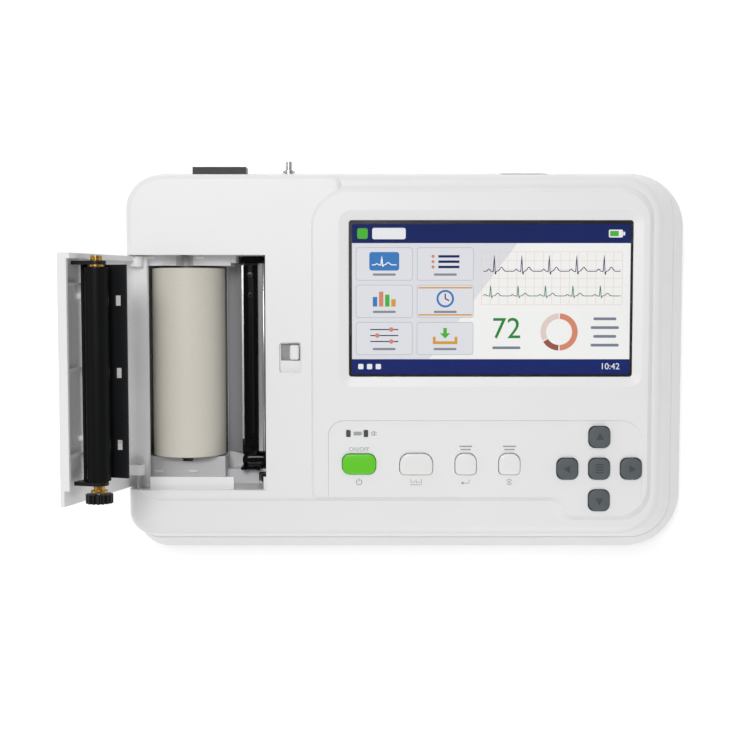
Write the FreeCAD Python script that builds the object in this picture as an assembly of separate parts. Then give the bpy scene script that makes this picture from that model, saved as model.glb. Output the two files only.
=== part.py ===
import FreeCAD, Part
import math
import os

# Desktop electrocardiograph with a built-in thermal chart printer, paper door open.
# Millimetres. X to the right, Y to the back, Z up. The origin lies on the flat underside
# of the base case, below the point midway between the two ends of the case's seam.

V = FreeCAD.Vector
ALONG_Y = V(0, 1, 0)

# Driving dimensions
SEAM_WIDTH = 322.0
SEAM_FRONT = -107.5
SEAM_BACK = 110.5
SKIRT_HEIGHT = 10.0
SEAM_HEIGHT = 30.0
LEDGE_HEIGHT = 66.0
DECK_HEIGHT = 68.0
PANEL_HEIGHT = 69.5
WALL = 2.5
SEAM_GROOVE = 1.6
PAPER_WIDTH = 110.0
ROLL_RADIUS = 21.5
SCREEN_WIDTH = 161.0
SCREEN_DEPTH = 88.5
ROLLER_RADIUS = 6.3
GEAR_MODULE = 0.8
DOOR_ANGLE = 107.0
KEY_SIZE = 12.0
KEY_PITCH = 18.2
KEY_GAP = 0.35
KEY_PROUD = 1.4
FOOT_HEIGHT = 4.0

# Places on the top, worked out from the driving dimensions or set beside them
HALF_WIDTH = SEAM_WIDTH / 2
CEILING = LEDGE_HEIGHT - WALL
PANEL_CEILING = PANEL_HEIGHT - WALL
PANEL_SLOPE = 3.6
PANEL_LEFT, PANEL_RIGHT = -55.6, 142.4
PANEL_FRONT, PANEL_BACK = -80.5, 100.5
PAD_FRONT = -91.5
DECK_FRONT = -79.9
SCREEN_X, SCREEN_Y = 49.0, 36.4
KEY_ROW_Y = -58.0
PAD_X, PAD_Y = 111.5, -60.7
KEYPAD_BACK = -33.0
LATCH = (-71.3, -58.8, -5.7, 11.4)
LATCH_FLOOR = DECK_HEIGHT - 2.4

# Places in the paper compartment
BAY_RIGHT = -79.2
BAY_FRONT, BAY_BACK = -73.3, 61.2
BAY_SILL = -66.0
BAY_RIM = 52.5
ROLL_X = -126.9
ROLL_Z = DECK_HEIGHT - 7.5 - ROLL_RADIUS
ROLL_FRONT = -55.8
ROLL_BACK = ROLL_FRONT + PAPER_WIDTH
ROLLER_X, ROLLER_Z = -90.0, 50.8
ROLLER_FRONT, ROLLER_BACK = -59.4, 53.2
HEAD_SEAT = 30.0
HEAD_TOP = ROLLER_Z - ROLLER_RADIUS - 0.4
HEAD_FRONT, HEAD_BACK = -51.0, 56.0
HINGE_X, HINGE_Z = -153.2, 60.0
DOOR_GAP = 0.5
DOOR_SKIN = 2.3


# Shape helpers
def box(x0, x1, y0, y1, z0, z1):
    return Part.makeBox(x1 - x0, y1 - y0, z1 - z0, V(x0, y0, z0))


def rod(x, z, radius, y0, y1):
    return Part.makeCylinder(radius, y1 - y0, V(x, y0, z), ALONG_Y)


def post(x, y, radius, z0, z1):
    return Part.makeCylinder(radius, z1 - z0, V(x, y, z0))


def rounded_wire(x0, x1, y0, y1, radii, z):
    """Rectangle with its own radius at the front left, front right, back right and back left."""
    corners = [(x0, y0, 1, 1), (x1, y0, -1, 1), (x1, y1, -1, -1), (x0, y1, 1, -1)]
    swing = 1 - math.sqrt(0.5)
    ends, arcs = [], []
    for index, ((x, y, to_x, to_y), radius) in enumerate(zip(corners, radii)):
        along_x = V(x + to_x * radius, y, z)
        along_y = V(x, y + to_y * radius, z)
        middle = V(x + to_x * radius * swing, y + to_y * radius * swing, z)
        first, last = (along_y, along_x) if index % 2 == 0 else (along_x, along_y)
        ends.append((first, last))
        arcs.append(Part.Arc(first, middle, last).toShape())
    edges = []
    for index, arc in enumerate(arcs):
        edges.append(arc)
        edges.append(Part.makeLine(ends[index][1], ends[(index + 1) % 4][0]))
    return Part.Wire(edges)


def rounded_block(x0, x1, y0, y1, radius, z0, z1):
    return Part.Face(rounded_wire(x0, x1, y0, y1, [radius] * 4, z0)).extrude(V(0, 0, z1 - z0))


def loft(wires):
    return Part.makeLoft(wires, True, True)


def profile_y(points, y0, y1):
    """Closed outline of (x, z) points, extruded from y0 to y1."""
    corners = [V(x, y0, z) for x, z in points]
    return Part.Face(Part.makePolygon(corners + corners[:1])).extrude(V(0, y1 - y0, 0))


def edges_at(shape, height):
    return [e for e in shape.Edges if all(abs(v.Point.z - height) < 1e-5 for v in e.Vertexes)]


def swing_open(shape):
    """Turns a door piece from its closed place to the open rest pose."""
    turned = shape.copy()
    turned.rotate(V(HINGE_X, 0, HINGE_Z), ALONG_Y, -DOOR_ANGLE)
    return turned


def gear(teeth, x, z, bore, y0, y1, phase=0.0):
    """Spur gear with straight-flanked teeth, on an axis along Y."""
    pitch_radius = GEAR_MODULE * teeth / 2
    step = 2 * math.pi / teeth
    rim = [(-0.34, -1.25), (-0.22, 0.0), (-0.12, 1.0), (0.12, 1.0), (0.22, 0.0), (0.34, -1.25)]
    points = []
    for tooth in range(teeth):
        for turn, rise in rim:
            angle = phase + (tooth + turn) * step
            radius = pitch_radius + rise * GEAR_MODULE
            points.append((x + radius * math.sin(angle), z + radius * math.cos(angle)))
    return profile_y(points, y0, y1).cut(rod(x, z, bore, y0 - 1, y1 + 1))


# Case: how far its outline stands in from the seam at the left, right, front and back.
# The skirt flares out below the seam, and the walls above lean in to the top.
CASE_INSETS = {
    0.0: (3.0, -5.0, -4.0, 4.0),
    SKIRT_HEIGHT: (-3.0, -10.5, -9.5, -1.5),
    SEAM_HEIGHT: (0.0, 0.0, 0.0, 0.0),
    LEDGE_HEIGHT: (2.8, 14.5, 8.5, 4.0),
}
CASE_CORNERS = (14.0, 24.0, 26.0, 20.0)


def case_sides(z):
    """X of the left and right wall and Y of the front and back wall at a height."""
    heights = sorted(CASE_INSETS)
    upper = next((h for h in heights[1:] if z <= h), heights[-1])
    lower = heights[heights.index(upper) - 1]
    share = (z - lower) / (upper - lower)
    left, right, front, back = [a + (b - a) * share for a, b in zip(CASE_INSETS[lower], CASE_INSETS[upper])]
    return left - HALF_WIDTH, HALF_WIDTH - right, SEAM_FRONT + front, SEAM_BACK - back


def case_outline(z, inset=0.0):
    left, right, front, back = case_sides(z)
    flares = [-HALF_WIDTH - left, right - HALF_WIDTH, SEAM_FRONT - front, back - SEAM_BACK]
    radii = []
    for radius, (side, end) in zip(CASE_CORNERS, ((0, 2), (1, 2), (1, 3), (0, 3))):
        radii.append(radius + max(0.0, (flares[side] + flares[end]) / 2) - inset)
    return rounded_wire(left + inset, right - inset, front + inset, back - inset, radii, z)


BOSSES = [(-140, 88), (-60, 88), (138, 40), (-140, -86), (0, -92), (138, -68)]
FEET = [(-125, -75), (120, -72), (120, 75), (-125, 78)]
BATTERY_BAY = (35.0, 115.0, -15.0, 55.0)
BATTERY_TOP = 22.0


def base_case():
    """Lower shell: flared skirt, floor with vents and battery bay, screw posts and a tongue at the seam."""
    rim = SEAM_HEIGHT - SEAM_GROOVE
    shell = loft([case_outline(0), case_outline(SKIRT_HEIGHT), case_outline(rim)])
    shell = shell.makeChamfer(2.5, edges_at(shell, 0))
    tongue = 1.4
    shell = shell.fuse(loft([case_outline(rim, tongue), case_outline(SEAM_HEIGHT, tongue)]))
    shell = shell.cut(loft([case_outline(z, WALL) for z in (WALL, SKIRT_HEIGHT, SEAM_HEIGHT)]))
    for x, y in BOSSES:
        shell = shell.fuse(post(x, y, 4.5, WALL - 0.5, SEAM_HEIGHT))
        shell = shell.cut(post(x, y, 1.7, -1, SEAM_HEIGHT + 1)).cut(post(x, y, 3.4, -1, 9))
    for x, y in FEET:
        shell = shell.cut(post(x, y, 8.2, -1, 1))
    x0, x1, y0, y1 = BATTERY_BAY
    shell = shell.cut(rounded_block(x0, x1, y0, y1, 4, -1, WALL + 1))
    walls = rounded_block(x0 - 2, x1 + 2, y0 - 2, y1 + 2, 5, WALL - 0.5, BATTERY_TOP + 2)
    shell = shell.fuse(walls.cut(rounded_block(x0, x1, y0, y1, 4, 0, BATTERY_TOP + 3)))
    for slot in range(7):
        x = -60 + 8 * slot
        shell = shell.cut(rounded_block(x - 1.5, x + 1.5, -60, -36, 1.4, -1, WALL + 1))
    return shell.removeSplitter()


def raised_deck():
    """Printer side of the top, flush with the left and back walls of the case."""
    sections = []
    for z in (50.0, DECK_HEIGHT):
        left, _, _, back = case_sides(z)
        sections.append(rounded_wire(left, PANEL_LEFT + 20, DECK_FRONT, back, (20, 6, 6, 20), z))
    deck = loft(sections)
    return deck.makeFillet(3.5, edges_at(deck, DECK_HEIGHT))


def panel_outline(z, inset):
    """Control panel outline, with the bulge in its front edge below the arrow keys."""
    x0, x1 = PANEL_LEFT + inset, PANEL_RIGHT - inset
    y0, y1, low = PANEL_FRONT + inset, PANEL_BACK - inset, PAD_FRONT + inset
    big, small, tight = 21.0, 17.0, 4.0
    half_run, half_drop = 6.5, (y0 - low) / 2
    bend = (half_run ** 2 + half_drop ** 2) / (2 * half_drop)
    turn = math.asin(half_run / bend) / 2
    shoulder = PAD_X - 22.5 + 0.7 * inset
    start, middle, finish = shoulder - half_run, V(shoulder, y0 - half_drop, z), shoulder + half_run
    rise = bend * (1 - math.cos(turn))
    k = 1 - math.sqrt(0.5)
    return Part.Wire([
        Part.makeLine(V(x0 + tight, y0, z), V(start, y0, z)),
        Part.Arc(V(start, y0, z), V(start + bend * math.sin(turn), y0 - rise, z), middle).toShape(),
        Part.Arc(middle, V(finish - bend * math.sin(turn), low + rise, z), V(finish, low, z)).toShape(),
        Part.makeLine(V(finish, low, z), V(x1 - small, low, z)),
        Part.Arc(V(x1 - small, low, z), V(x1 - small * k, low + small * k, z), V(x1, low + small, z)).toShape(),
        Part.makeLine(V(x1, low + small, z), V(x1, y1 - small, z)),
        Part.Arc(V(x1, y1 - small, z), V(x1 - small * k, y1 - small * k, z), V(x1 - small, y1, z)).toShape(),
        Part.makeLine(V(x1 - small, y1, z), V(x0 + big, y1, z)),
        Part.Arc(V(x0 + big, y1, z), V(x0 + big * k, y1 - big * k, z), V(x0, y1 - big, z)).toShape(),
        Part.makeLine(V(x0, y1 - big, z), V(x0, y0 + tight, z)),
        Part.Arc(V(x0, y0 + tight, z), V(x0 + tight * k, y0 + tight * k, z), V(x0 + tight, y0, z)).toShape()])


# Keys: centre, width and depth, then the corner radii at the front and at the back
KEYS = {
    "power_key": (-25.9, KEY_ROW_Y, 19.0, 11.4, 4.2, 4.2),
    "print_key": (6.8, KEY_ROW_Y, 18.6, 12.0, 2.4, 5.5),
    "mode_key": (35.1, KEY_ROW_Y, KEY_SIZE, KEY_SIZE, 2.4, 4.8),
    "lead_key": (60.1, KEY_ROW_Y, KEY_SIZE, KEY_SIZE, 2.4, 4.8),
}
for key, across, along in (("up", 0, 1), ("down", 0, -1), ("left", -1, 0), ("right", 1, 0), ("enter", 0, 0)):
    KEYS[key + "_key"] = (PAD_X + across * KEY_PITCH, PAD_Y + along * KEY_PITCH, KEY_SIZE, KEY_SIZE, 3.6, 3.6)
LAMPS = [(-32.0, -40.5), (-22.0, -40.5)]
CONNECTOR_X, CONNECTOR_Z = -107.0, 44.0
GROUND_X = -67.0
INLET_X = 70.0


def key_block(size, grow, z0, z1):
    x, y, width, depth, front, back = size
    wire = rounded_wire(x - width / 2 - grow, x + width / 2 + grow, y - depth / 2 - grow, y + depth / 2 + grow,
                        (front + grow, front + grow, back + grow, back + grow), z0)
    return Part.Face(wire).extrude(V(0, 0, z1 - z0))


def keypad_hollow():
    """Shallow tilted dip around the keys, deepest at its back edge and running out in front."""
    outline = rounded_wire(-43.5, PANEL_RIGHT - 6.5, PAD_FRONT - 5, KEYPAD_BACK, (2, 2, 12, 9), 60)
    prism = Part.Face(outline).extrude(V(0, 0, 20))
    depth = 0.9
    wedge = Part.Face(Part.makePolygon([
        V(-60, KEYPAD_BACK, PANEL_HEIGHT - depth), V(-60, KEYPAD_BACK, 80), V(-60, PAD_FRONT, 80),
        V(-60, PAD_FRONT, PANEL_HEIGHT), V(-60, KEYPAD_BACK, PANEL_HEIGHT - depth)]))
    return prism.common(wedge.extrude(V(220, 0, 0)))


def screen_outline(grow, z):
    return rounded_wire(SCREEN_X - SCREEN_WIDTH / 2 - grow, SCREEN_X + SCREEN_WIDTH / 2 + grow,
                        SCREEN_Y - SCREEN_DEPTH / 2 - grow, SCREEN_Y + SCREEN_DEPTH / 2 + grow,
                        [1.5 + grow] * 4, z)


def bay_opening():
    """Opening over the paper roll, with a rebate for the door's front end and a slot for the roller's gear."""
    well = box(-200, BAY_RIGHT, BAY_SILL, BAY_BACK, BAY_RIM, 80)
    rebate = box(-200, BAY_RIGHT, BAY_FRONT, BAY_SILL, DECK_HEIGHT - DOOR_SKIN - 0.4, 80)
    shoulder = box(-200, HINGE_X + 7, BAY_FRONT, BAY_SILL, BAY_RIM, 80)
    gear_slot = box(ROLLER_X - 8, ROLLER_X + 9, BAY_FRONT, BAY_SILL, BAY_RIM, 80)
    return well.fuse([rebate, shoulder, gear_slot])


def top_case():
    """Upper shell: leaning walls, raised printer deck, control panel with window and keypad, back openings."""
    main = loft([case_outline(SEAM_HEIGHT), case_outline(LEDGE_HEIGHT)])
    main = main.makeFillet(5, edges_at(main, LEDGE_HEIGHT))
    panel = loft([panel_outline(LEDGE_HEIGHT - 1, 0), panel_outline(PANEL_HEIGHT, PANEL_SLOPE)])
    shell = main.fuse([raised_deck(), panel])
    shell = shell.cut(loft([case_outline(SEAM_HEIGHT, WALL), case_outline(CEILING, WALL)]))
    shell = shell.cut(rounded_block(PANEL_LEFT + 4, PANEL_RIGHT - 4, PANEL_FRONT + 4, PANEL_BACK - 4,
                                    15, CEILING - 1, PANEL_CEILING))
    shell = shell.cut(rounded_block(93, PANEL_RIGHT - 4, PAD_FRONT + 4, -30, 13, CEILING - 1, PANEL_CEILING))
    for x, y in BOSSES:
        shell = shell.fuse(post(x, y, 4.5, SEAM_HEIGHT, CEILING + 0.5))
        shell = shell.cut(post(x, y, 1.3, SEAM_HEIGHT - 1, SEAM_HEIGHT + 16))
    shell = shell.cut(bay_opening())
    bevel = PANEL_HEIGHT - 1.2
    shell = shell.cut(loft([screen_outline(0.2, 60), screen_outline(0.2, bevel)]))
    shell = shell.cut(loft([screen_outline(0.2, bevel), screen_outline(6.3, PANEL_HEIGHT + 0.1)]))
    shell = shell.cut(keypad_hollow())
    for size in KEYS.values():
        shell = shell.cut(key_block(size, KEY_GAP, 60, 75))
    for x, y in LAMPS:
        shell = shell.cut(rounded_block(x - 1.25, x + 1.25, y - 2, y + 2, 0.6, 60, 75))
    x0, x1, y0, y1 = LATCH
    shell = shell.cut(rounded_block(x0, x1, y0, y1, 1.5, LATCH_FLOOR, 75))
    shell = shell.cut(box(x0 + 0.8, x1 - 0.8, y0 + 6.8, y1 - 0.8, 60, 75))
    shell = shell.cut(rod(GROUND_X, CONNECTOR_Z, 2.6, 90, 120))
    for x, half_width, half_height in ((CONNECTOR_X, 15.7, 5.7), (INLET_X, 13.7, 9.7)):
        low, high = CONNECTOR_Z - half_height, CONNECTOR_Z + half_height
        shell = shell.cut(box(x - half_width, x + half_width, 90, 120, low, high))
    return shell.removeSplitter()


# Underside pieces
def battery_cover():
    x0, x1, y0, y1 = BATTERY_BAY
    cover = rounded_block(x0 + 0.3, x1 - 0.3, y0 + 0.3, y1 - 0.3, 3.7, 0, WALL)
    grip = Part.makeCylinder(9, 20, V((x0 + x1) / 2 - 10, y0 + 9, -7.4), V(1, 0, 0))
    return cover.cut(grip)


def battery_pack():
    x0, x1, y0, y1 = BATTERY_BAY
    return rounded_block(x0 + 2, x1 - 2, y0 + 2, y1 - 2, 3, WALL, BATTERY_TOP)


def rubber_feet():
    feet = []
    for x, y in FEET:
        stem = post(x, y, 8.0, -FOOT_HEIGHT, 1)
        rim = [e for e in stem.Edges if abs(e.BoundBox.ZMax + FOOT_HEIGHT) < 1e-6 and e.Closed]
        feet.append(stem.makeChamfer(1.2, rim))
    return Part.Compound(feet)


def case_screws():
    screws = []
    for x, y in BOSSES:
        screw = post(x, y, 3.0, 6.6, 9).fuse(post(x, y, 1.25, 9, SEAM_HEIGHT + 14))
        screws.append(screw.cut(box(x - 2, x + 2, y - 0.4, y + 0.4, 6, 7.6)))
    return Part.Compound(screws)


# Print drive: the roller's gear drops in beside the drive gear when the door shuts
GEAR_FRONT, GEAR_BACK = -71.4, -67.0
ROLLER_TEETH, DRIVE_TEETH, PINION_TEETH = 16, 23, 10
DRIVE_REACH = GEAR_MODULE * (ROLLER_TEETH + DRIVE_TEETH + 4) / 2 + 0.5
DRIVE_ANGLE = math.radians(120)
DRIVE_X = ROLLER_X + DRIVE_REACH * math.sin(DRIVE_ANGLE)
DRIVE_Z = ROLLER_Z + DRIVE_REACH * math.cos(DRIVE_ANGLE)
BACKLASH = 0.13
MESH = GEAR_MODULE * (DRIVE_TEETH + PINION_TEETH) / 2 + BACKLASH
MESH_ANGLE = math.radians(150)
PINION_X = DRIVE_X + MESH * math.sin(MESH_ANGLE)
PINION_Z = DRIVE_Z + MESH * math.cos(MESH_ANGLE)

# Paper compartment
WELL_RADIUS = ROLL_RADIUS + 2
WELL_WALL = 2.2
WELL_LEFT = ROLL_X - WELL_RADIUS - WELL_WALL
WELL_RIGHT = BAY_RIGHT + 1.2
WELL_LOW = ROLL_Z - WELL_RADIUS - WELL_WALL
WELL_TRIM = WELL_LOW + 4.2
WELL_SIDE_TOP = BAY_RIM - 1.0
WELL_END_TOP = CEILING - 0.5
WELL_FRONT = BAY_FRONT - WELL_WALL
WELL_BACK = BAY_BACK + WELL_WALL
GEAR_PLATE_RIGHT = -55.5
SHELF_TOP = ROLL_Z + 9
LOW_SHELF_TOP = 40.8
SHELF_SPLIT = ROLL_X + 22
CHEEK_FRONT = ROLL_FRONT - 3.4
CHEEK_BACK = ROLL_FRONT - 0.9
SPINDLE_STUB = 3.0


def paper_well():
    """Trough for the roll with end walls, a seat for the print head and a front shelf over the gears."""
    right = WELL_RIGHT + WELL_WALL
    tub = box(WELL_LEFT, right, WELL_FRONT, WELL_BACK, WELL_LOW, WELL_SIDE_TOP)
    room = rod(ROLL_X, ROLL_Z, WELL_RADIUS, BAY_FRONT, BAY_BACK)
    room = room.fuse(box(ROLL_X - WELL_RADIUS, ROLL_X, BAY_FRONT, BAY_BACK, ROLL_Z, 80))
    room = room.fuse(box(ROLL_X, WELL_RIGHT, BAY_FRONT, BAY_BACK, HEAD_SEAT, 80))
    well = tub.cut(room)
    for x0, x1 in ((WELL_LEFT - 1, ROLL_X - 20), (ROLL_X + 20, right + 1)):
        well = well.cut(box(x0, x1, WELL_FRONT - 1, WELL_BACK + 1, WELL_LOW - 1, WELL_TRIM))
    well = well.fuse(box(HINGE_X - 2.5, GEAR_PLATE_RIGHT, WELL_FRONT, BAY_FRONT, WELL_TRIM, WELL_END_TOP))
    well = well.fuse(box(HINGE_X - 2.5, right, BAY_BACK, WELL_BACK, ROLL_Z, WELL_END_TOP))
    sill = box(HINGE_X - 3.3, WELL_LEFT, BAY_FRONT, BAY_BACK, WELL_SIDE_TOP - 1.7, WELL_SIDE_TOP)
    shelf = box(ROLL_X - WELL_RADIUS, SHELF_SPLIT, BAY_FRONT, CHEEK_FRONT, SHELF_TOP - WELL_WALL, SHELF_TOP)
    low_shelf = box(SHELF_SPLIT, WELL_RIGHT, BAY_FRONT, -64.8, HEAD_SEAT, LOW_SHELF_TOP)
    riser = box(SHELF_SPLIT - WELL_WALL, SHELF_SPLIT, BAY_FRONT, CHEEK_FRONT, HEAD_SEAT, SHELF_TOP)
    cheek = box(ROLL_X - 12, ROLL_X + 12, CHEEK_FRONT, CHEEK_BACK, WELL_LOW, SHELF_TOP)
    well = well.fuse([sill, shelf, low_shelf, riser, cheek])
    well = well.cut(rod(HINGE_X, HINGE_Z, 1.5, WELL_FRONT - 1, WELL_BACK + 1))
    fit = SPINDLE_STUB + 0.05
    slot = box(ROLL_X - fit, ROLL_X + fit, -80, 80, ROLL_Z, 80).fuse(rod(ROLL_X, ROLL_Z, fit, -80, 80))
    well = well.cut(slot.common(box(-200, 0, CHEEK_FRONT, ROLL_FRONT, 0, 90)))
    well = well.cut(slot.common(box(-200, 0, BAY_BACK - 1, BAY_BACK + 1.2, 0, 90)))
    gear_room = rod(DRIVE_X, DRIVE_Z, 11.2, GEAR_FRONT - 0.5, GEAR_BACK + 0.4)
    gear_room = gear_room.fuse(rod(PINION_X, PINION_Z, 5.6, GEAR_FRONT - 0.5, GEAR_BACK + 0.4))
    well = well.cut(gear_room).cut(rod(PINION_X, PINION_Z, 3.2, WELL_FRONT - 1, GEAR_BACK))
    well = well.cut(rod(DRIVE_X, DRIVE_Z, 2.0, WELL_FRONT - 1, GEAR_FRONT))
    return well.removeSplitter()


def paper_spindle():
    body = rod(ROLL_X, ROLL_Z, 6.45, CHEEK_BACK, BAY_BACK)
    return body.fuse(rod(ROLL_X, ROLL_Z, SPINDLE_STUB, CHEEK_FRONT, BAY_BACK + 1.1))


CORE_RADIUS = 8.0


def roll_core():
    tube = rod(ROLL_X, ROLL_Z, CORE_RADIUS, ROLL_FRONT, ROLL_BACK)
    return tube.cut(rod(ROLL_X, ROLL_Z, CORE_RADIUS - 1.5, -99, 99))


def paper_roll():
    paper = rod(ROLL_X, ROLL_Z, ROLL_RADIUS, ROLL_FRONT, ROLL_BACK)
    return paper.cut(rod(ROLL_X, ROLL_Z, CORE_RADIUS, -99, 99))


# Print head
BLOCK_TOP = 41.5
FOOT_FRONT, FOOT_BACK = -64.2, -55.2
FOOT_LEFT, FOOT_RIGHT = ROLLER_X - 5.8, ROLLER_X + 10.6


def print_head():
    """Thermal bar under the platen roller, with the raised heater line along its top."""
    half, flat, drop = 4.0, 1.2, 0.8
    bar = profile_y([(ROLLER_X - half, HEAD_SEAT + 5), (ROLLER_X + half, HEAD_SEAT + 5),
                     (ROLLER_X + half, HEAD_TOP - drop), (ROLLER_X + flat, HEAD_TOP),
                     (ROLLER_X - flat, HEAD_TOP), (ROLLER_X - half, HEAD_TOP - drop)], HEAD_FRONT, HEAD_BACK)
    for y in (50.4, -46.0):
        bar = bar.cut(post(ROLLER_X, y, 1.0, HEAD_TOP - 3, HEAD_TOP + 1))
    return bar


def head_bracket():
    """Pressed steel tray of the head, with an upturned lip along its left side."""
    low, high = HEAD_SEAT + 2.5, HEAD_SEAT + 5
    plate = box(ROLLER_X - 4, ROLLER_X + 5, HEAD_FRONT, HEAD_BACK, low, high)
    foot = box(ROLLER_X - 2.5, ROLLER_X + 2.5, -20, 25, HEAD_SEAT, low)
    bend = box(ROLLER_X - 5.2, ROLLER_X - 4, HEAD_FRONT + 4.5, HEAD_BACK, low, high)
    lip = box(ROLLER_X - 5.2, ROLLER_X - 4.2, HEAD_FRONT + 4.5, HEAD_BACK, low, HEAD_TOP - 1.6)
    return plate.fuse([foot, bend, lip]).removeSplitter()


def guide_bar():
    """Bright steel paper guide: an upright strip beside the head with its top bent over to the left."""
    x0, x1, sheet = ROLLER_X + 4.6, ROLLER_X + 8.1, 1.2
    return profile_y([(x1 - sheet, HEAD_SEAT), (x1, HEAD_SEAT), (x1, HEAD_TOP + 1.2), (x0, HEAD_TOP - 0.6),
                      (x0, HEAD_TOP - 0.6 - sheet), (x1 - sheet, HEAD_TOP - 0.4)], -53.6, 57.0)


def rounded_upright(x0, x1, z0, z1, radius, y0, y1):
    """Block with its two upper edges rounded, extruded along Y."""
    turned = Part.Face(rounded_wire(x0, x1, -z1, -z0, (radius, radius, 0.4, 0.4), 0))
    block = turned.extrude(V(0, 0, y1 - y0))
    block.rotate(V(0, 0, 0), V(1, 0, 0), -90)
    block.translate(V(0, y0, 0))
    return block


def head_blocks():
    """Black end blocks of the print head; the front one has a fork that takes the roller's bush."""
    front = rounded_block(FOOT_LEFT, FOOT_RIGHT, FOOT_FRONT, FOOT_BACK, 2.5, HEAD_SEAT, BLOCK_TOP)
    front = front.makeChamfer(1.0, edges_at(front, BLOCK_TOP))
    lug = box(ROLLER_X - 5.8, ROLLER_X - 4.1, FOOT_BACK - 1.5, -47.0, HEAD_SEAT, BLOCK_TOP - 1.5)
    fork = rounded_upright(ROLLER_X - 5.6, ROLLER_X + 5.6, HEAD_SEAT, ROLLER_Z - 0.5, 1.5,
                           FOOT_FRONT, FOOT_FRONT + 1.8)
    fork = fork.cut(rod(ROLLER_X, ROLLER_Z, 3.5, FOOT_FRONT - 1, FOOT_BACK))
    back = rounded_upright(FOOT_LEFT, ROLLER_X + 7.4, HEAD_SEAT, BLOCK_TOP, 4.0, 57.4, BAY_BACK)
    return Part.Compound([front.fuse([lug, fork]).removeSplitter(), back])


def drive_gear():
    return gear(DRIVE_TEETH, DRIVE_X, DRIVE_Z, 1.55, GEAR_FRONT, GEAR_BACK)


def gear_arbor():
    return rod(DRIVE_X, DRIVE_Z, 1.5, BAY_FRONT, GEAR_BACK + 0.2).fuse(
        rod(DRIVE_X, DRIVE_Z, 2.0, WELL_FRONT, BAY_FRONT))


MOTOR_BACK = WELL_FRONT - 0.4


def motor_pinion():
    half_step = math.pi / PINION_TEETH
    toward = math.degrees(MESH_ANGLE)
    drive_phase = (toward / (360 / DRIVE_TEETH)) % 1.0
    phase = MESH_ANGLE + math.pi + half_step + drive_phase * 2 * math.pi / PINION_TEETH
    wheel = gear(PINION_TEETH, PINION_X, PINION_Z, 1.0, GEAR_FRONT, GEAR_BACK, phase)
    return wheel.fuse(rod(PINION_X, PINION_Z, 1.0, MOTOR_BACK + 0.2, GEAR_BACK))


def stepper_motor():
    body = rod(PINION_X, PINION_Z, 13.0, MOTOR_BACK - 15, MOTOR_BACK)
    body = body.fuse(rod(PINION_X, PINION_Z, 13.6, MOTOR_BACK - 9, MOTOR_BACK - 7))
    ears = box(PINION_X - 19, PINION_X + 19, MOTOR_BACK - 1.2, MOTOR_BACK, PINION_Z - 4, PINION_Z + 4)
    return body.fuse(ears).cut(rod(PINION_X, PINION_Z, 1.6, MOTOR_BACK - 4, MOTOR_BACK + 1))


# Paper door, drawn closed and swung open
DOOR_FRONT, DOOR_BACK = BAY_FRONT + DOOR_GAP, BAY_BACK - DOOR_GAP
DOOR_EDGE = BAY_RIGHT - DOOR_GAP
DOOR_UNDER = DECK_HEIGHT - DOOR_SKIN
KNUCKLE = 6.0
KNUCKLES = (BAY_SILL + DOOR_GAP, DOOR_BACK - KNUCKLE)
CARRIER_TOP = 63.0
CARRIER_LEFT = ROLLER_X - 9.4
ARM = 2.0
ARMS = (ROLLER_FRONT - 0.6 - ARM, ROLLER_BACK + 1.4)
BUSH_RADIUS = 3.0


def door_curve(inset):
    """Outer or inner line of the door: flat top, rounded shoulder and a short left wall."""
    top = DECK_HEIGHT - inset
    left = HINGE_X - 5.1 + inset
    radius = 6.0 - inset
    k = math.sqrt(0.5)
    return [V(DOOR_EDGE, 0, top), V(left + radius, 0, top),
            V(left + radius * (1 - k), 0, top - radius * (1 - k)), V(left, 0, top - radius),
            V(left, 0, HINGE_Z - 4.5)]


def door_shell():
    """Curved lid with a turned-down free edge and back rim, ribs, two hinge knuckles and carrier posts."""
    outer, inner = door_curve(0.0), door_curve(DOOR_SKIN)
    edges = [Part.makeLine(outer[0], outer[1]), Part.Arc(outer[1], outer[2], outer[3]).toShape(),
             Part.makeLine(outer[3], outer[4]), Part.makeLine(outer[4], inner[4]),
             Part.makeLine(inner[4], inner[3]), Part.Arc(inner[3], inner[2], inner[1]).toShape(),
             Part.makeLine(inner[1], inner[0]), Part.makeLine(inner[0], outer[0])]
    skin = Part.Face(Part.Wire(edges)).extrude(V(0, DOOR_BACK - DOOR_FRONT, 0))
    skin.translate(V(0, DOOR_FRONT, 0))
    lip = box(DOOR_EDGE - 1.8, DOOR_EDGE, BAY_SILL + 1.5, DOOR_BACK, DOOR_UNDER - 3.0, DOOR_UNDER)
    rim = box(HINGE_X, DOOR_EDGE, DOOR_BACK - 3.0, DOOR_BACK, DOOR_UNDER - 5.0, DOOR_UNDER)
    door = skin.fuse([lip, rim])
    for y in (44.4, -0.7, -46.4):
        door = door.fuse(box(HINGE_X + 5, DOOR_EDGE - 1.8, y - 0.7, y + 0.7, DOOR_UNDER - 1.6, DOOR_UNDER))
    for y in KNUCKLES:
        knuckle = rod(HINGE_X, HINGE_Z, 3.2, y, y + KNUCKLE)
        web = box(HINGE_X - 1.6, HINGE_X + 3.2, y, y + KNUCKLE, HINGE_Z, DOOR_UNDER)
        door = door.fuse([knuckle, web])
    door = door.cut(rod(HINGE_X, HINGE_Z, 1.55, DOOR_FRONT - 1, DOOR_BACK + 1))
    for y in (38.0, -38.0):
        door = door.fuse(post(CARRIER_LEFT + 2.2, y, 2.0, CARRIER_TOP, DOOR_UNDER))
    return door.removeSplitter()


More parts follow.
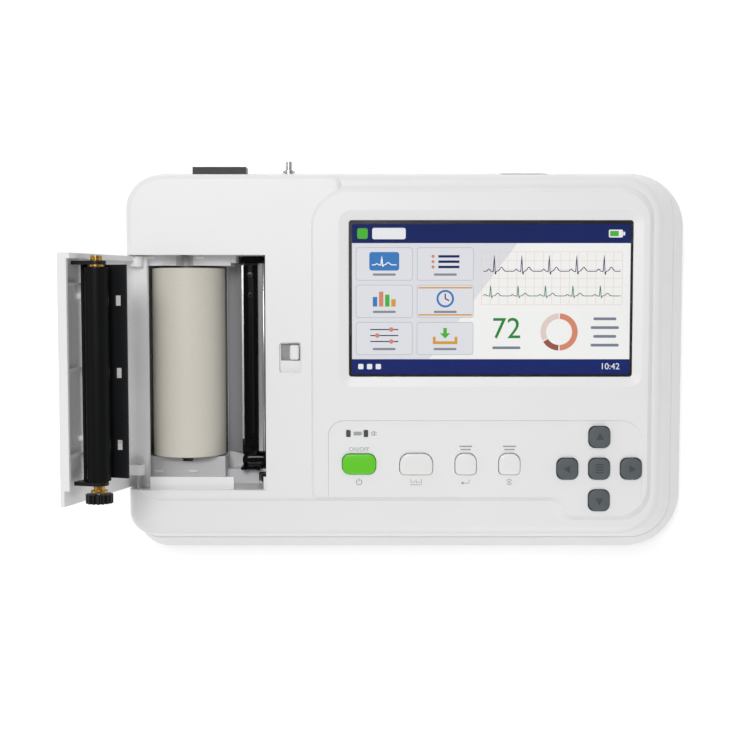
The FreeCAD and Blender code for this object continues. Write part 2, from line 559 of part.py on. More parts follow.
def roller_carrier():
    """Black bracket beside the roller: web, paper guide flange with slots, and two bearing arms."""
    web = box(CARRIER_LEFT, CARRIER_LEFT + 4.4, ARMS[0], ARMS[1] + ARM, CARRIER_TOP - 1.5, CARRIER_TOP)
    flange = box(CARRIER_LEFT, CARRIER_LEFT + 1.4, -58.9, 54.7, 38.0, CARRIER_TOP)
    for y in (35.7, -2.7, -41.2):
        flange = flange.cut(box(CARRIER_LEFT - 1, CARRIER_LEFT + 2, y - 2.7, y + 2.7, 41.2, 44.6))
    carrier = web.fuse(flange)
    for y in ARMS:
        arm = box(CARRIER_LEFT + 1, ROLLER_X + 5, y, y + ARM, ROLLER_Z, CARRIER_TOP)
        arm = arm.fuse(rod(ROLLER_X, ROLLER_Z, 5.0, y, y + ARM))
        carrier = carrier.fuse(arm).cut(rod(ROLLER_X, ROLLER_Z, BUSH_RADIUS, y - 1, y + ARM + 1))
    return carrier.removeSplitter()


def roller_bushings():
    """Flanged brass bushes in the carrier's arms, in which the roller shaft turns."""
    front = rod(ROLLER_X, ROLLER_Z, BUSH_RADIUS, -65.6, ROLLER_FRONT - 0.4)
    front = front.fuse(rod(ROLLER_X, ROLLER_Z, 4.4, -65.6, -64.6))
    back = rod(ROLLER_X, ROLLER_Z, BUSH_RADIUS, ROLLER_BACK + 0.3, 59.3)
    back = back.fuse(rod(ROLLER_X, ROLLER_Z, 4.4, ROLLER_BACK + 0.3, ROLLER_BACK + 1.3))
    bore = rod(ROLLER_X, ROLLER_Z, 2.05, -99, 99)
    return Part.Compound([front.cut(bore), back.cut(bore)])


def platen_shaft():
    return rod(ROLLER_X, ROLLER_Z, 2.0, GEAR_FRONT, 59.3)


def platen_rubber():
    sleeve = rod(ROLLER_X, ROLLER_Z, ROLLER_RADIUS, ROLLER_FRONT, ROLLER_BACK)
    return sleeve.cut(rod(ROLLER_X, ROLLER_Z, 2.0, -99, 99))


def platen_gear():
    return gear(ROLLER_TEETH, ROLLER_X, ROLLER_Z, 2.0, GEAR_FRONT, GEAR_BACK + 0.4)


def hinge_pins():
    pins = [rod(HINGE_X, HINGE_Z, 1.5, WELL_FRONT, KNUCKLES[0] + KNUCKLE),
            rod(HINGE_X, HINGE_Z, 1.5, KNUCKLES[1], WELL_BACK)]
    return Part.Compound(pins)


# Controls
def key_cap(size):
    """Push key with a bevelled top edge and a retaining flange under the panel."""
    top = PANEL_HEIGHT + KEY_PROUD
    cap = key_block(size, 0, PANEL_CEILING - 1.2, top)
    cap = cap.makeChamfer(0.8, edges_at(cap, top))
    flange = key_block(size, 0.8, PANEL_CEILING - 1.4, PANEL_CEILING - 0.2)
    stem = post(size[0], size[1], 1.8, PANEL_CEILING - 3.0, PANEL_CEILING - 1.4)
    return cap.fuse([flange, stem])


def latch_slider():
    """White thumb piece in the release recess, on a plate that runs under the deck."""
    x0, x1, y0, y1 = LATCH
    top = DECK_HEIGHT + 0.4
    thumb = rounded_block(x1 - 6.6, x1 - 1.4, y0 + 7.4, y1 - 1.4, 1.2, CEILING - 1.3, top)
    thumb = thumb.makeChamfer(0.7, edges_at(thumb, top))
    plate = box(x0 - 1.1, x1 + 3.0, y0 + 5.0, y1 + 1.0, CEILING - 2.0, CEILING - 0.3)
    return thumb.fuse(plate)


def screen_glass():
    return loft([screen_outline(0.2, PANEL_CEILING), screen_outline(0.2, PANEL_HEIGHT - 1.2)])


def lcd_panel():
    return box(SCREEN_X - 83, SCREEN_X + 83, SCREEN_Y - 48, SCREEN_Y + 50, PANEL_CEILING - 5.5, PANEL_CEILING)


def indicator_lenses():
    return Part.Compound([rounded_block(x - 1.25, x + 1.25, y - 2, y + 2, 0.6, PANEL_CEILING - 1.0,
                                        PANEL_HEIGHT - 0.5) for x, y in LAMPS])


def keypad_board():
    """Key switch board under the panel, with a dome switch below each key."""
    top = PANEL_CEILING - 5.4
    board = box(-40, 132.8, -86, -36, top - 1.6, top)
    for size in KEYS.values():
        board = board.fuse(post(size[0], size[1], 3.0, top, top + 0.8))
    return board


def main_board():
    top = 40.0
    board = box(-70, 133, -62, 81, top - 1.6, top)
    chips = [(-30, 40, 14), (20, 10, 10), (70, 55, 18), (100, -30, 12), (-20, -30, 12)]
    for x, y, half in chips:
        board = board.fuse(box(x - half, x + half, y - half, y + half, top, top + 2.2))
    return board


# Back connectors
REAR_WALL = case_sides(CONNECTOR_Z)[3]


def lead_connector():
    """Patient cable socket: a black block through the back wall with a D-shaped contact face."""
    outer = REAR_WALL + 3.6
    depth = outer - 1.2
    body = box(CONNECTOR_X - 15.5, CONNECTOR_X + 15.5, outer - 16, outer, CONNECTOR_Z - 5.5, CONNECTOR_Z + 5.5)
    corners = [(-12.5, 4.0), (12.5, 4.0), (11.0, -4.0), (-11.0, -4.0), (-12.5, 4.0)]
    face = Part.Face(Part.makePolygon([V(CONNECTOR_X + x, depth, CONNECTOR_Z + z) for x, z in corners]))
    ring = box(CONNECTOR_X - 14.2, CONNECTOR_X + 14.2, depth, outer + 1, CONNECTOR_Z - 4.9, CONNECTOR_Z + 4.9)
    return body.cut(ring).fuse(face.extrude(V(0, outer - depth, 0)))


def ground_pin():
    stud = rod(GROUND_X, CONNECTOR_Z, 2.0, REAR_WALL + 1.7, REAR_WALL + 6.9)
    collar = rod(GROUND_X, CONNECTOR_Z, 3.6, REAR_WALL + 0.5, REAR_WALL + 1.7)
    shank = rod(GROUND_X, CONNECTOR_Z, 2.5, REAR_WALL - 8, REAR_WALL + 0.5)
    return stud.fuse([collar, shank])


def mains_inlet():
    """Three-pin mains inlet in the back wall."""
    outer = REAR_WALL + 0.2
    body = box(INLET_X - 13.5, INLET_X + 13.5, outer - 19, outer, CONNECTOR_Z - 9.5, CONNECTOR_Z + 9.5)
    cavity = box(INLET_X - 12, INLET_X + 12, outer - 15, outer + 1, CONNECTOR_Z - 8, CONNECTOR_Z + 8)
    body = body.cut(cavity)
    for x, z in ((-7, -1), (7, -1), (0, 3)):
        middle_x, middle_z = INLET_X + x, CONNECTOR_Z + z
        body = body.fuse(box(middle_x - 1, middle_x + 1, outer - 16, outer - 3, middle_z - 2, middle_z + 2))
    return body


PARTS = {
    "base_case": base_case(), "top_case": top_case(), "battery_cover": battery_cover(),
    "battery_pack": battery_pack(), "rubber_feet": rubber_feet(), "case_screws": case_screws(),
    "paper_well": paper_well(), "paper_spindle": paper_spindle(), "roll_core": roll_core(),
    "paper_roll": paper_roll(), "print_head": print_head(), "head_bracket": head_bracket(),
    "guide_bar": guide_bar(), "head_blocks": head_blocks(), "drive_gear": drive_gear(),
    "gear_arbor": gear_arbor(), "motor_pinion": motor_pinion(), "stepper_motor": stepper_motor(),
    "door_shell": swing_open(door_shell()), "roller_carrier": swing_open(roller_carrier()),
    "roller_bushings": swing_open(roller_bushings()), "platen_shaft": swing_open(platen_shaft()),
    "platen_rubber": swing_open(platen_rubber()), "platen_gear": swing_open(platen_gear()),
    "hinge_pins": hinge_pins(), "latch_slider": latch_slider(), "screen_glass": screen_glass(),
    "lcd_panel": lcd_panel(), "indicator_lenses": indicator_lenses(), "keypad_board": keypad_board(),
    "main_board": main_board(), "lead_connector": lead_connector(), "ground_pin": ground_pin(),
    "mains_inlet": mains_inlet(),
}
for name, size in KEYS.items():
    PARTS[name] = key_cap(size)

os.makedirs("parts", exist_ok=True)
for node, shape in PARTS.items():
    shape.exportStep("parts/" + node + ".step")
    print(node, shape.isValid(), len(shape.Solids), round(shape.Volume))
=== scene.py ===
import math

import bmesh
import bpy
from mathutils import Matrix, Vector


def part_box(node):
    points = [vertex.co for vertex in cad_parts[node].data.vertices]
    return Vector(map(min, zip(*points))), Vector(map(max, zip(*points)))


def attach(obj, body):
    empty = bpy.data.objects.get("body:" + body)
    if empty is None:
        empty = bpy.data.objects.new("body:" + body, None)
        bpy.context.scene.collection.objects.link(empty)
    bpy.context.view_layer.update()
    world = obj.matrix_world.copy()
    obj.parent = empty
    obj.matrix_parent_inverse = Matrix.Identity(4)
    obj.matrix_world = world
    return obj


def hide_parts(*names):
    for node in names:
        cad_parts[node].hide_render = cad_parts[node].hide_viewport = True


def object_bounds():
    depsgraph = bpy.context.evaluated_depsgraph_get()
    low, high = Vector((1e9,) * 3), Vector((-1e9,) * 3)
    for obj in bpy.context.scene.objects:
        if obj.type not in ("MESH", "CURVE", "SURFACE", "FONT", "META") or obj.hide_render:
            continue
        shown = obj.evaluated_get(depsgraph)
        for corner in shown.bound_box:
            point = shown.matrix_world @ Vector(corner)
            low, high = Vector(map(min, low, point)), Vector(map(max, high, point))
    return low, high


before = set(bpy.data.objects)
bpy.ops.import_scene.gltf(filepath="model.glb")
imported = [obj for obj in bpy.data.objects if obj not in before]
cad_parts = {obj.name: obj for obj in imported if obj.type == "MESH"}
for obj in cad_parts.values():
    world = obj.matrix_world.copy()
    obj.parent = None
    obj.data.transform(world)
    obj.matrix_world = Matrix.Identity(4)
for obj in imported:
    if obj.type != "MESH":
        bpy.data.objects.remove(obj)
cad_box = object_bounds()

# Case: upper shell, base, battery lid and paper door, injection-moulded in white ABS and screwed together
# from below. The tool's face was spark eroded, so the skin has a fine even grain, a satin sheen and softly
# broken edges.
MM = 0.001
ABS_IOR = 1.54
GRAIN_MM = 0.9          # a real grain is about 0.1 mm; drawn coarser so that it shows
GRAIN_HEIGHT_MM = 0.1
GRAIN_SPREAD = 0.05     # roughness that the grain adds and takes away
CLOUD_MM = 45.0         # slow drift of tone where the melt cooled at different rates
EDGE_MM = 0.45          # radius that the tool leaves on an outer edge
EDGE_SAMPLES = 4
MIX_ONE, MIX_TWO, MIX_RESULT = 6, 7, 2   # places of a mix node's colour sockets


def linear(hex_colour):
    """sRGB hex to linear RGBA."""
    channels = [int(hex_colour[i:i + 2], 16) / 255 for i in (0, 2, 4)]
    return [c / 12.92 if c <= 0.04045 else ((c + 0.055) / 1.055) ** 2.4 for c in channels] + [1.0]


def add_node(tree, kind, settings, links=None):
    """Adds a node, sets its sockets and properties, and links its inputs; a number is a socket's place."""
    node = tree.nodes.new(kind)
    for key, value in settings.items():
        if isinstance(key, int) or key in node.inputs:
            node.inputs[key].default_value = value
        else:
            setattr(node, key, value)
    for key, source in (links or {}).items():
        tree.links.new(source, node.inputs[key])
    return node


def new_material(name):
    """Empty node material; returns the material and its tree."""
    material = bpy.data.materials.new(name)
    material.use_nodes = True
    material.node_tree.nodes.clear()
    return material, material.node_tree


def moulded(name, colour, shade, roughness, grain=GRAIN_MM, depth=0.06, edge=EDGE_MM, ior=ABS_IOR, shine=0.5):
    """Moulded plastic or rubber: two close tones in soft clouds, the tool's grain and rounded edges."""
    material, tree = new_material(name)
    place = add_node(tree, "ShaderNodeTexCoord", {})
    cloud = add_node(tree, "ShaderNodeTexNoise", {"Scale": 1 / (CLOUD_MM * MM), "Detail": 3.0},
                     {"Vector": place.outputs["Object"]})
    tone = add_node(tree, "ShaderNodeMix",
                    {"data_type": "RGBA", MIX_ONE: linear(colour), MIX_TWO: linear(shade)},
                    {"Factor": cloud.outputs["Fac"]})
    fine = add_node(tree, "ShaderNodeTexNoise", {"Scale": 1 / (grain * MM), "Detail": 2.0},
                    {"Vector": place.outputs["Object"]})
    rough = add_node(tree, "ShaderNodeMapRange",
                     {"To Min": roughness - GRAIN_SPREAD, "To Max": roughness + GRAIN_SPREAD},
                     {"Value": fine.outputs["Fac"]})
    soft = add_node(tree, "ShaderNodeBevel", {"Radius": edge * MM, "samples": EDGE_SAMPLES})
    bump = add_node(tree, "ShaderNodeBump", {"Strength": depth, "Distance": GRAIN_HEIGHT_MM * MM},
                    {"Height": fine.outputs["Fac"], "Normal": soft.outputs["Normal"]})
    skin = add_node(tree, "ShaderNodeBsdfPrincipled", {"IOR": ior, "Specular IOR Level": shine},
                    {"Base Color": tone.outputs[MIX_RESULT], "Roughness": rough.outputs["Result"],
                     "Normal": bump.outputs["Normal"]})
    add_node(tree, "ShaderNodeOutputMaterial", {}, {"Surface": skin.outputs["BSDF"]})
    return material


def dress(material, *nodes):
    """Gives CAD nodes a material."""
    for node in nodes:
        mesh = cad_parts[node].data
        mesh.materials.clear()
        mesh.materials.append(material)


white_abs = moulded("white ABS, spark-eroded", "EEEEEE", "EAEAEB", 0.42)
dress(white_abs, "base_case", "top_case", "battery_cover", "door_shell")

# Feet: four round pads of moulded black rubber, pressed into shallow seats under the base.
# Rubber is dull, a little grey with handling, and rougher than the case.
foot_rubber = moulded("black rubber, moulded", "1B1B1C", "232324", 0.78, grain=1.6, depth=0.2, shine=0.3)
dress(foot_rubber, "rubber_feet")

# Fasteners, pins, shafts and small ironwork: plated steel, turned or pressed, screwed or pushed into place.
# The tool leaves fine rings, so the highlight is streaked and softly blurred.
RING_MM = 1.18752       # real tool marks are about 0.1 mm apart; drawn coarser so that they show
RING_HEIGHT_MM = 0.05
WAVE_PERIOD = math.pi / 10   # spacing of a wave texture's bands at scale 1


def turned_metal(name, colour, roughness):
    """Turned metal: fine rings along the axis, in its gloss and in its relief."""
    material, tree = new_material(name)
    place = add_node(tree, "ShaderNodeTexCoord", {})
    rings = add_node(tree, "ShaderNodeTexWave",
                     {"Scale": WAVE_PERIOD / (RING_MM * MM), "Distortion": 1.5, "Detail": 2.0,
                      "bands_direction": "Y"},
                     {"Vector": place.outputs["Object"]})
    rough = add_node(tree, "ShaderNodeMapRange", {"To Min": roughness - 0.06, "To Max": roughness + 0.08},
                     {"Value": rings.outputs["Fac"]})
    bump = add_node(tree, "ShaderNodeBump", {"Strength": 0.08, "Distance": RING_HEIGHT_MM * MM},
                    {"Height": rings.outputs["Fac"]})
    metal = add_node(tree, "ShaderNodeBsdfPrincipled", {"Base Color": linear(colour), "Metallic": 1.0},
                     {"Roughness": rough.outputs["Result"], "Normal": bump.outputs["Normal"]})
    add_node(tree, "ShaderNodeOutputMaterial", {}, {"Surface": metal.outputs["BSDF"]})
    return material


plated_steel = turned_metal("plated steel, turned", "C9CACC", 0.28)
dress(plated_steel, "case_screws", "hinge_pins", "platen_shaft", "gear_arbor", "stepper_motor", "ground_pin",
      "head_bracket")

# Inside: the circuit boards and the battery pack, closed in by the case.
# Printed boards under green solder lacquer and cells in a blue shrunk sleeve, both slightly glossy.
dress(moulded("green solder lacquer, printed", "1F6B3A", "1A5E33", 0.4), "main_board", "keypad_board")
dress(moulded("blue sleeve, shrunk", "2F4FA0", "294690", 0.4), "battery_pack")

# Paper well and spindle: a trough moulded in the white of the case, which drops into the bay from above.
# Here its white is painted darker than the case, as painted shade of the deep bay. Its end walls are rests
# with a notch and a slot for the roll's spindle, and small seating pads. A ramp, grey as painted shade,
# leads the paper up to the head, and a wall closes the bay's right side.
WELL_LEFT, WELL_REST_RIGHT, FRONT_REST_RIGHT = -150.3, -97.2, -104.9
REST_LOW = 30.0
BACK_REST = (55.4, 61.2)
BACK_REST_RIGHT = -100.2
ARM_REST = (57.2, 61.2)   # past the right end the rest steps back to here, for the roller's carrier
ARM_OVERLAP = 0.1
BACK_REST_TOP, NOTCH_LOW = 54.0, 48.5
NOTCH_HALF, NOTCH_FLOOR_HALF = 5.0, 1.0
FRONT_REST = (-59.2, -56.3)
FRONT_REST_TOP, SLOT_HALF = 48.03, 3.1
PAD_WIDTH, PAD_DEPTH, PAD_CORNER, PAD_EDGE = 5.4, 1.7, 0.6, 0.3
PAD_PROUD, PAD_SUNK = 0.7, 0.5
PADS = ((-146.6, 60.2, BACK_REST_TOP), (-118.0, 60.2, BACK_REST_TOP),
        (-144.0, -65.2, FRONT_REST_TOP), (-124.0, -65.2, FRONT_REST_TOP))
RAMP_LEFT, RAMP_RIGHT = -104.8, -95.9
RAMP_ENDS = (-55.3, 57.0)
RAMP_UNDER, RAMP_FOOT, RAMP_RISE = 29.5, 30.05, 6.0
RAMP_SWEEP, RAMP_STEPS = 1.8, 9
BAY_WALL = (-79.15, -66.0, -78.0, 61.2)
BAY_WALL_LOW, BAY_WALL_TOP = 50.5, 64.0
LEAST_RADIUS = 0.05
CORNERS = ((-1, -1, 180), (1, -1, 270), (1, 1, 0), (-1, 1, 90))   # sides in X and Y, and the first angle


def seat(node):
    """Low corner, middle and high corner of a CAD node, in millimetres."""
    low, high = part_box(node)
    return low / MM, (low + high) / 2 / MM, high / MM


def place_piece(name, mesh, material, body, sharp):
    """Puts a mesh in the scene with its material, riding on a body."""
    mesh.shade_smooth()
    mesh.set_sharp_from_angle(angle=math.radians(sharp))
    mesh.materials.append(material)
    made = bpy.data.objects.new(name, mesh)
    bpy.context.scene.collection.objects.link(made)
    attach(made, body)
    return made


def turn_outwards(form, faces):
    """Turns a closed shell the right way out, by the sign of its volume."""
    form.normal_update()
    start = faces[0].verts[0].co
    if sum((face.calc_center_median() - start).dot(face.normal) * face.calc_area() for face in faces) < 0:
        bmesh.ops.reverse_faces(form, faces=faces)


def piece(name, shells, material, body, tube=False, sharp=40):
    """Closed mesh from shells of equal rings, in millimetres; a tube joins its last ring to its first."""
    form = bmesh.new()
    for rings in shells:
        rows = [[form.verts.new(Vector(point) * MM) for point in ring] for ring in rings]
        pairs = list(zip(rows, rows[1:]))
        if tube:
            pairs.append((rows[-1], rows[0]))
            faces = []
        else:
            faces = [form.faces.new(rows[0][::-1]), form.faces.new(rows[-1])]
        for low, high in pairs:
            for i in range(len(low)):
                j = (i + 1) % len(low)
                faces.append(form.faces.new((low[i], low[j], high[j], high[i])))
        turn_outwards(form, faces)
    mesh = bpy.data.meshes.new(name)
    form.to_mesh(mesh)
    form.free()
    return place_piece(name, mesh, material, body, sharp)


def arc(x, y, radius, start, end, steps=6):
    """Points along an arc between two angles in degrees."""
    turns = [math.radians(start + (end - start) * k / steps) for k in range(steps + 1)]
    return [(x + radius * math.cos(a), y + radius * math.sin(a)) for a in turns]


def rounded(x, y, width, depth, radii, inset=0.0):
    """Rectangle with one radius, or with four from its front left corner round to its back left one."""
    half_x, half_y = width / 2 - inset, depth / 2 - inset
    outline = []
    for (side_x, side_y, start), corner in zip(CORNERS, radii if isinstance(radii, tuple) else (radii,) * 4):
        radius = max(corner - inset, LEAST_RADIUS)
        corner_x, corner_y = x + side_x * (half_x - radius), y + side_y * (half_y - radius)
        outline += arc(corner_x, corner_y, radius, start, start + 90)
    return outline


def rect(x0, y0, x1, y1):
    """Rectangle between two corners."""
    return [(x0, y0), (x1, y0), (x1, y1), (x0, y1)]


def lift(outline, z):
    """Ring from a flat outline, at a height."""
    return [(x, y, z) for x, y in outline]


def upright(outline, y):
    """Ring from an outline that stands up, in X and Z, at a distance from the middle."""
    return [(x, y, z) for x, z in outline]


def plate(outline, low, high):
    """Rings of a flat plate between two heights."""
    return [lift(outline, low), lift(outline, high)]


def block(x, y, width, depth, radii, profile):
    """Rings of a block with rounded corners; the profile lists its heights and insets from below."""
    return [lift(rounded(x, y, width, depth, radii, inset), z) for z, inset in profile]


# A blasted tool leaves a fine soft matt, so the well shades evenly into its depth; its white is also
# painted darker than the case, as painted shade of the deep bay.
well_abs_painted_shade = moulded("white ABS, blasted tool, painted shade", "DCDCDE", "D6D6D8", 0.36)
dress(well_abs_painted_shade, "paper_well", "paper_spindle")
spindle = seat("paper_spindle")[1]
back_outline = [(WELL_LEFT, REST_LOW), (BACK_REST_RIGHT, REST_LOW), (BACK_REST_RIGHT, BACK_REST_TOP),
                (spindle.x + NOTCH_HALF, BACK_REST_TOP), (spindle.x + NOTCH_FLOOR_HALF, NOTCH_LOW),
                (spindle.x - NOTCH_FLOOR_HALF, NOTCH_LOW), (spindle.x - NOTCH_HALF, BACK_REST_TOP),
                (WELL_LEFT, BACK_REST_TOP)]
front_outline = [(WELL_LEFT, REST_LOW), (FRONT_REST_RIGHT, REST_LOW), (FRONT_REST_RIGHT, FRONT_REST_TOP),
                 (spindle.x + SLOT_HALF, FRONT_REST_TOP), (spindle.x + SLOT_HALF, spindle.z),
                 (spindle.x - SLOT_HALF, spindle.z), (spindle.x - SLOT_HALF, FRONT_REST_TOP),
                 (WELL_LEFT, FRONT_REST_TOP)]
arm_outline = rect(BACK_REST_RIGHT - ARM_OVERLAP, REST_LOW, WELL_REST_RIGHT, BACK_REST_TOP)
rests = []
for outline, ends in ((back_outline, BACK_REST), (front_outline, FRONT_REST), (arm_outline, ARM_REST)):
    rests.append([upright(outline, y) for y in ends])
piece("roll_rests", rests, well_abs_painted_shade, "housing")

# The pads come from a polished part of the tool and catch the light; they are also coloured brighter than
# the well around them, as painted highlight.
pad_abs_painted_highlight = moulded("white ABS, polished tool, painted highlight", "F4F4F4", "F0F0F0", 0.2, edge=0.1)
pads = []
for x, y, top in PADS:
    profile = ((top - PAD_SUNK, 0.0), (top + PAD_PROUD - PAD_EDGE, 0.0), (top + PAD_PROUD, PAD_EDGE))
    pads.append(block(x, y, PAD_WIDTH, PAD_DEPTH, PAD_CORNER, profile))
piece("seating_pads", pads, pad_abs_painted_highlight, "housing")

# The ramp is the same plastic coloured grey as painted shade of the low bay, so it reads as a mid tone
# between the white well and the black head.
grey_abs_painted_shade = moulded("grey ABS, painted shade", "9C9C9F", "929295", 0.38)
ramp_outline = [(RAMP_LEFT, RAMP_UNDER), (RAMP_RIGHT, RAMP_UNDER)]
for k in range(RAMP_STEPS, -1, -1):
    share = k / RAMP_STEPS
    ramp_outline.append((RAMP_LEFT + (RAMP_RIGHT - RAMP_LEFT) * share,
                         RAMP_FOOT + RAMP_RISE * share ** RAMP_SWEEP))
piece("paper_ramp", [[upright(ramp_outline, y) for y in RAMP_ENDS]], grey_abs_painted_shade, "housing")
piece("bay_side_wall", [plate(rect(*BAY_WALL), BAY_WALL_LOW, BAY_WALL_TOP)], well_abs_painted_shade, "housing")

# Chart roll: coated thermal paper wound on a tube of rolled card, which turns on the spindle.
# The coating makes the paper smooth and warm, with its white painted darker than real paper as painted shade
# of the deep bay. Its ends show the edges of the turns as fine uneven rings. The card is dull and fibrous.
LOOSE_EDGE = math.radians(215)
LOOSE_STEP = 0.3        # a sheet is about 0.06 mm thick; drawn thicker so that its edge shows
ROLL_STEPS = 96
END_TURNS = 16
UNEVEN_MM, UNEVEN_TURN = 0.22, 2.4   # how far the turns stand in at the ends, and the step of that wave
RIM_IN, RIM_LONG = 0.25, 0.4         # the bevel at the rim
BORE_GAP = 0.1
FIBRE_MM = 1.4          # real fibres are about 0.03 mm thick; drawn coarser so that they show
FIBRE_HEIGHT_MM = 0.05


def turn_of_paper(middle, radius, y):
    """One turn of the roll: a spiral that steps out by a sheet at its loose edge."""
    ring = []
    for k in range(ROLL_STEPS + 1):
        share = k / ROLL_STEPS
        angle = LOOSE_EDGE + share * 2 * math.pi
        reach = radius - LOOSE_STEP * share
        ring.append((middle.x + reach * math.cos(angle), y, middle.z + reach * math.sin(angle)))
    return ring


paper, tree = new_material("thermal paper, coated, painted shade")
place = add_node(tree, "ShaderNodeTexCoord", {})
fibre = add_node(tree, "ShaderNodeTexNoise", {"Scale": 1 / (FIBRE_MM * MM), "Detail": 4.0},
                 {"Vector": place.outputs["Object"]})
# Both tones are painted darker than the paper's own white, as painted shade of the deep bay.
tone = add_node(tree, "ShaderNodeMix",
                {"data_type": "RGBA", MIX_ONE: linear("DAD6CB"), MIX_TWO: linear("D2CDC1")},
                {"Factor": fibre.outputs["Fac"]})
bump = add_node(tree, "ShaderNodeBump", {"Strength": 0.05, "Distance": FIBRE_HEIGHT_MM * MM},
                {"Height": fibre.outputs["Fac"]})
sheet = add_node(tree, "ShaderNodeBsdfPrincipled", {"Roughness": 0.5, "IOR": 1.5},
                 {"Base Color": tone.outputs[MIX_RESULT], "Normal": bump.outputs["Normal"]})
add_node(tree, "ShaderNodeOutputMaterial", {}, {"Surface": sheet.outputs["BSDF"]})

core_low, _, core_high = seat("roll_core")
roll_low, roll_middle, roll_high = seat("paper_roll")
roll_radius = (roll_high.z - roll_low.z) / 2
bore_radius = (core_high.z - core_low.z) / 2 + LOOSE_STEP + BORE_GAP
front_end, back_end = [], []
for k in range(END_TURNS + 1):
    radius = bore_radius + (roll_radius - RIM_IN - bore_radius) * k / END_TURNS
    dip = UNEVEN_MM * (0.5 + 0.5 * math.sin(UNEVEN_TURN * k))
    front_end.append(turn_of_paper(roll_middle, radius, roll_low.y + dip))
    back_end.append(turn_of_paper(roll_middle, radius, roll_high.y - dip))
barrel = [turn_of_paper(roll_middle, roll_radius, y) for y in (roll_low.y + RIM_LONG, roll_high.y - RIM_LONG)]
roll_rings = front_end + barrel + back_end[::-1]
chart_roll = piece("wound_chart_roll", [roll_rings], paper, "roll", tube=True)
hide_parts("paper_roll")
dress(moulded("brown card, rolled", "9A7B55", "8A6C48", 0.8, grain=1.2, depth=0.2), "roll_core")

# Print head: a thermal bar with a black lacquered face and a line of heaters under a fired glaze, held by a
# flat screw and a round locating eye on a pressed steel tray. Baked lacquer is smooth and deep black, and
# the glaze is glassier still.
HEATER_OFF, HEATER_HALF, HEATER_MARGIN = 1.4, 0.55, 8.0
HEATER_PROUD, HEATER_SUNK = 0.04, 0.6
SCREW_Y, SCREW_RADIUS, SCREW_HEIGHT, SCREW_SUNK = 50.4, 1.7, 0.3, 0.12
SCREW_STEPS, DOME_RINGS = 48, 9
EYE_Y = 38.4
EYE_PROFILE = ((1.6, -0.3), (1.6, 0.12), (1.35, 0.2), (0.9, 0.2), (0.75, 0.05), (0.75, -0.3))   # radius, rise


def disc(x, y, radius, steps=32):
    """Round outline."""
    return arc(x, y, radius, 0, 360, steps)[:-1]


def screw_head(x, y, z, radius, height):
    """Rings of a domed head with a cross recess."""
    arm_half, arm_reach, recess = 0.2 * radius, 0.62 * radius, 0.45 * height
    rim, fullness = 0.45, 0.98
    rings = [lift(disc(x, y, radius, SCREW_STEPS), z)]
    for k in range(DOME_RINGS):
        share = 1 - k / (DOME_RINGS + 0.5)
        dome = z + height * (rim + (1 - rim) * math.sqrt(1 - share ** 2 * fullness))
        ring = []
        for px, py in disc(x, y, radius * share, SCREW_STEPS):
            across, along = abs(px - x), abs(py - y)
            in_cross = min(across, along) < arm_half and max(across, along) < arm_reach
            ring.append((px, py, dome - recess if in_cross else dome))
        rings.append(ring)
    return rings


lacquer = moulded("black lacquer, baked", "070708", "0B0B0C", 0.24, grain=2.0, depth=0.03, edge=0.2,
                  shine=0.1)
dress(lacquer, "print_head")
head_low, head_middle, head_high = seat("print_head")
head_top = head_high.z
heater_x = head_middle.x + HEATER_OFF
heater = rect(heater_x - HEATER_HALF, head_low.y + HEATER_MARGIN, heater_x + HEATER_HALF,
              head_high.y - HEATER_MARGIN)
glaze = moulded("brown glass glaze, fired", "15100E", "1B1411", 0.12, grain=3.0, depth=0.02, edge=0.1,
                ior=1.55, shine=0.3)
piece("heater_line", [plate(heater, head_top - HEATER_SUNK, head_top + HEATER_PROUD)], glaze, "housing")
# Blackened steel hardly shines, and only the turning rings catch light.
dark_steel = turned_metal("steel, blackened", "3A3B3E", 0.3)
screw = screw_head(head_middle.x, SCREW_Y, head_top - SCREW_SUNK, SCREW_RADIUS, SCREW_HEIGHT)
piece("head_screw", [screw], dark_steel, "housing", sharp=30)
# Black ABS as it leaves the tool: an even black with a weak satin sheen.
black_abs = moulded("black ABS, moulded", "121314", "191A1C", 0.36, edge=0.3, shine=0.22)
eye = [lift(disc(head_middle.x, EYE_Y, radius), head_top + rise) for radius, rise in EYE_PROFILE]
piece("head_locating_eye", [eye], black_abs, "housing", tube=True)

# End blocks: black ABS blocks moulded in a polished tool and seated at both ends of the head.
# The front one is a swelling shoe with a neck and a fork for the roller's bush. A polished tool leaves a
# tight, wet-looking gloss.
SHOE_DEPTH, SHOE_CORNER, SHOE_ROUND = 9.0, 4.2, 3.0
SHOE_DROP = 2.6         # its top lies this far under the face of the head
NECK_WIDTH, NECK_DEPTH, NECK_CORNER = 9.4, 7.4, 1.5
NECK_OFF_X, NECK_FROM_FRONT = -0.9, 11.6
NECK_EDGE = ((-1.6, 0.0), (-0.9, 0.3), (-0.6, 0.9))   # height over the top of the shoe, and inset
REAR_WIDTH, REAR_DEPTH, REAR_CORNER = 13.2, 3.8, 1.6
REAR_OFF_X = 0.8
REAR_EDGE = ((-0.8, 0.0), (-0.2, 0.25), (0.0, 0.8))
FORK_THICK, FORK_HALF, HORN_ROUND = 1.8, 5.6, 1.5
FORK_SLOT, SLOT_RISE = 3.5, 0.5


def round_over(top, radius):
    """Heights and insets of an edge that is rounded over from the wall to the top."""
    return [(z, inset) for inset, z in arc(radius, top - radius, radius, 180, 90)]


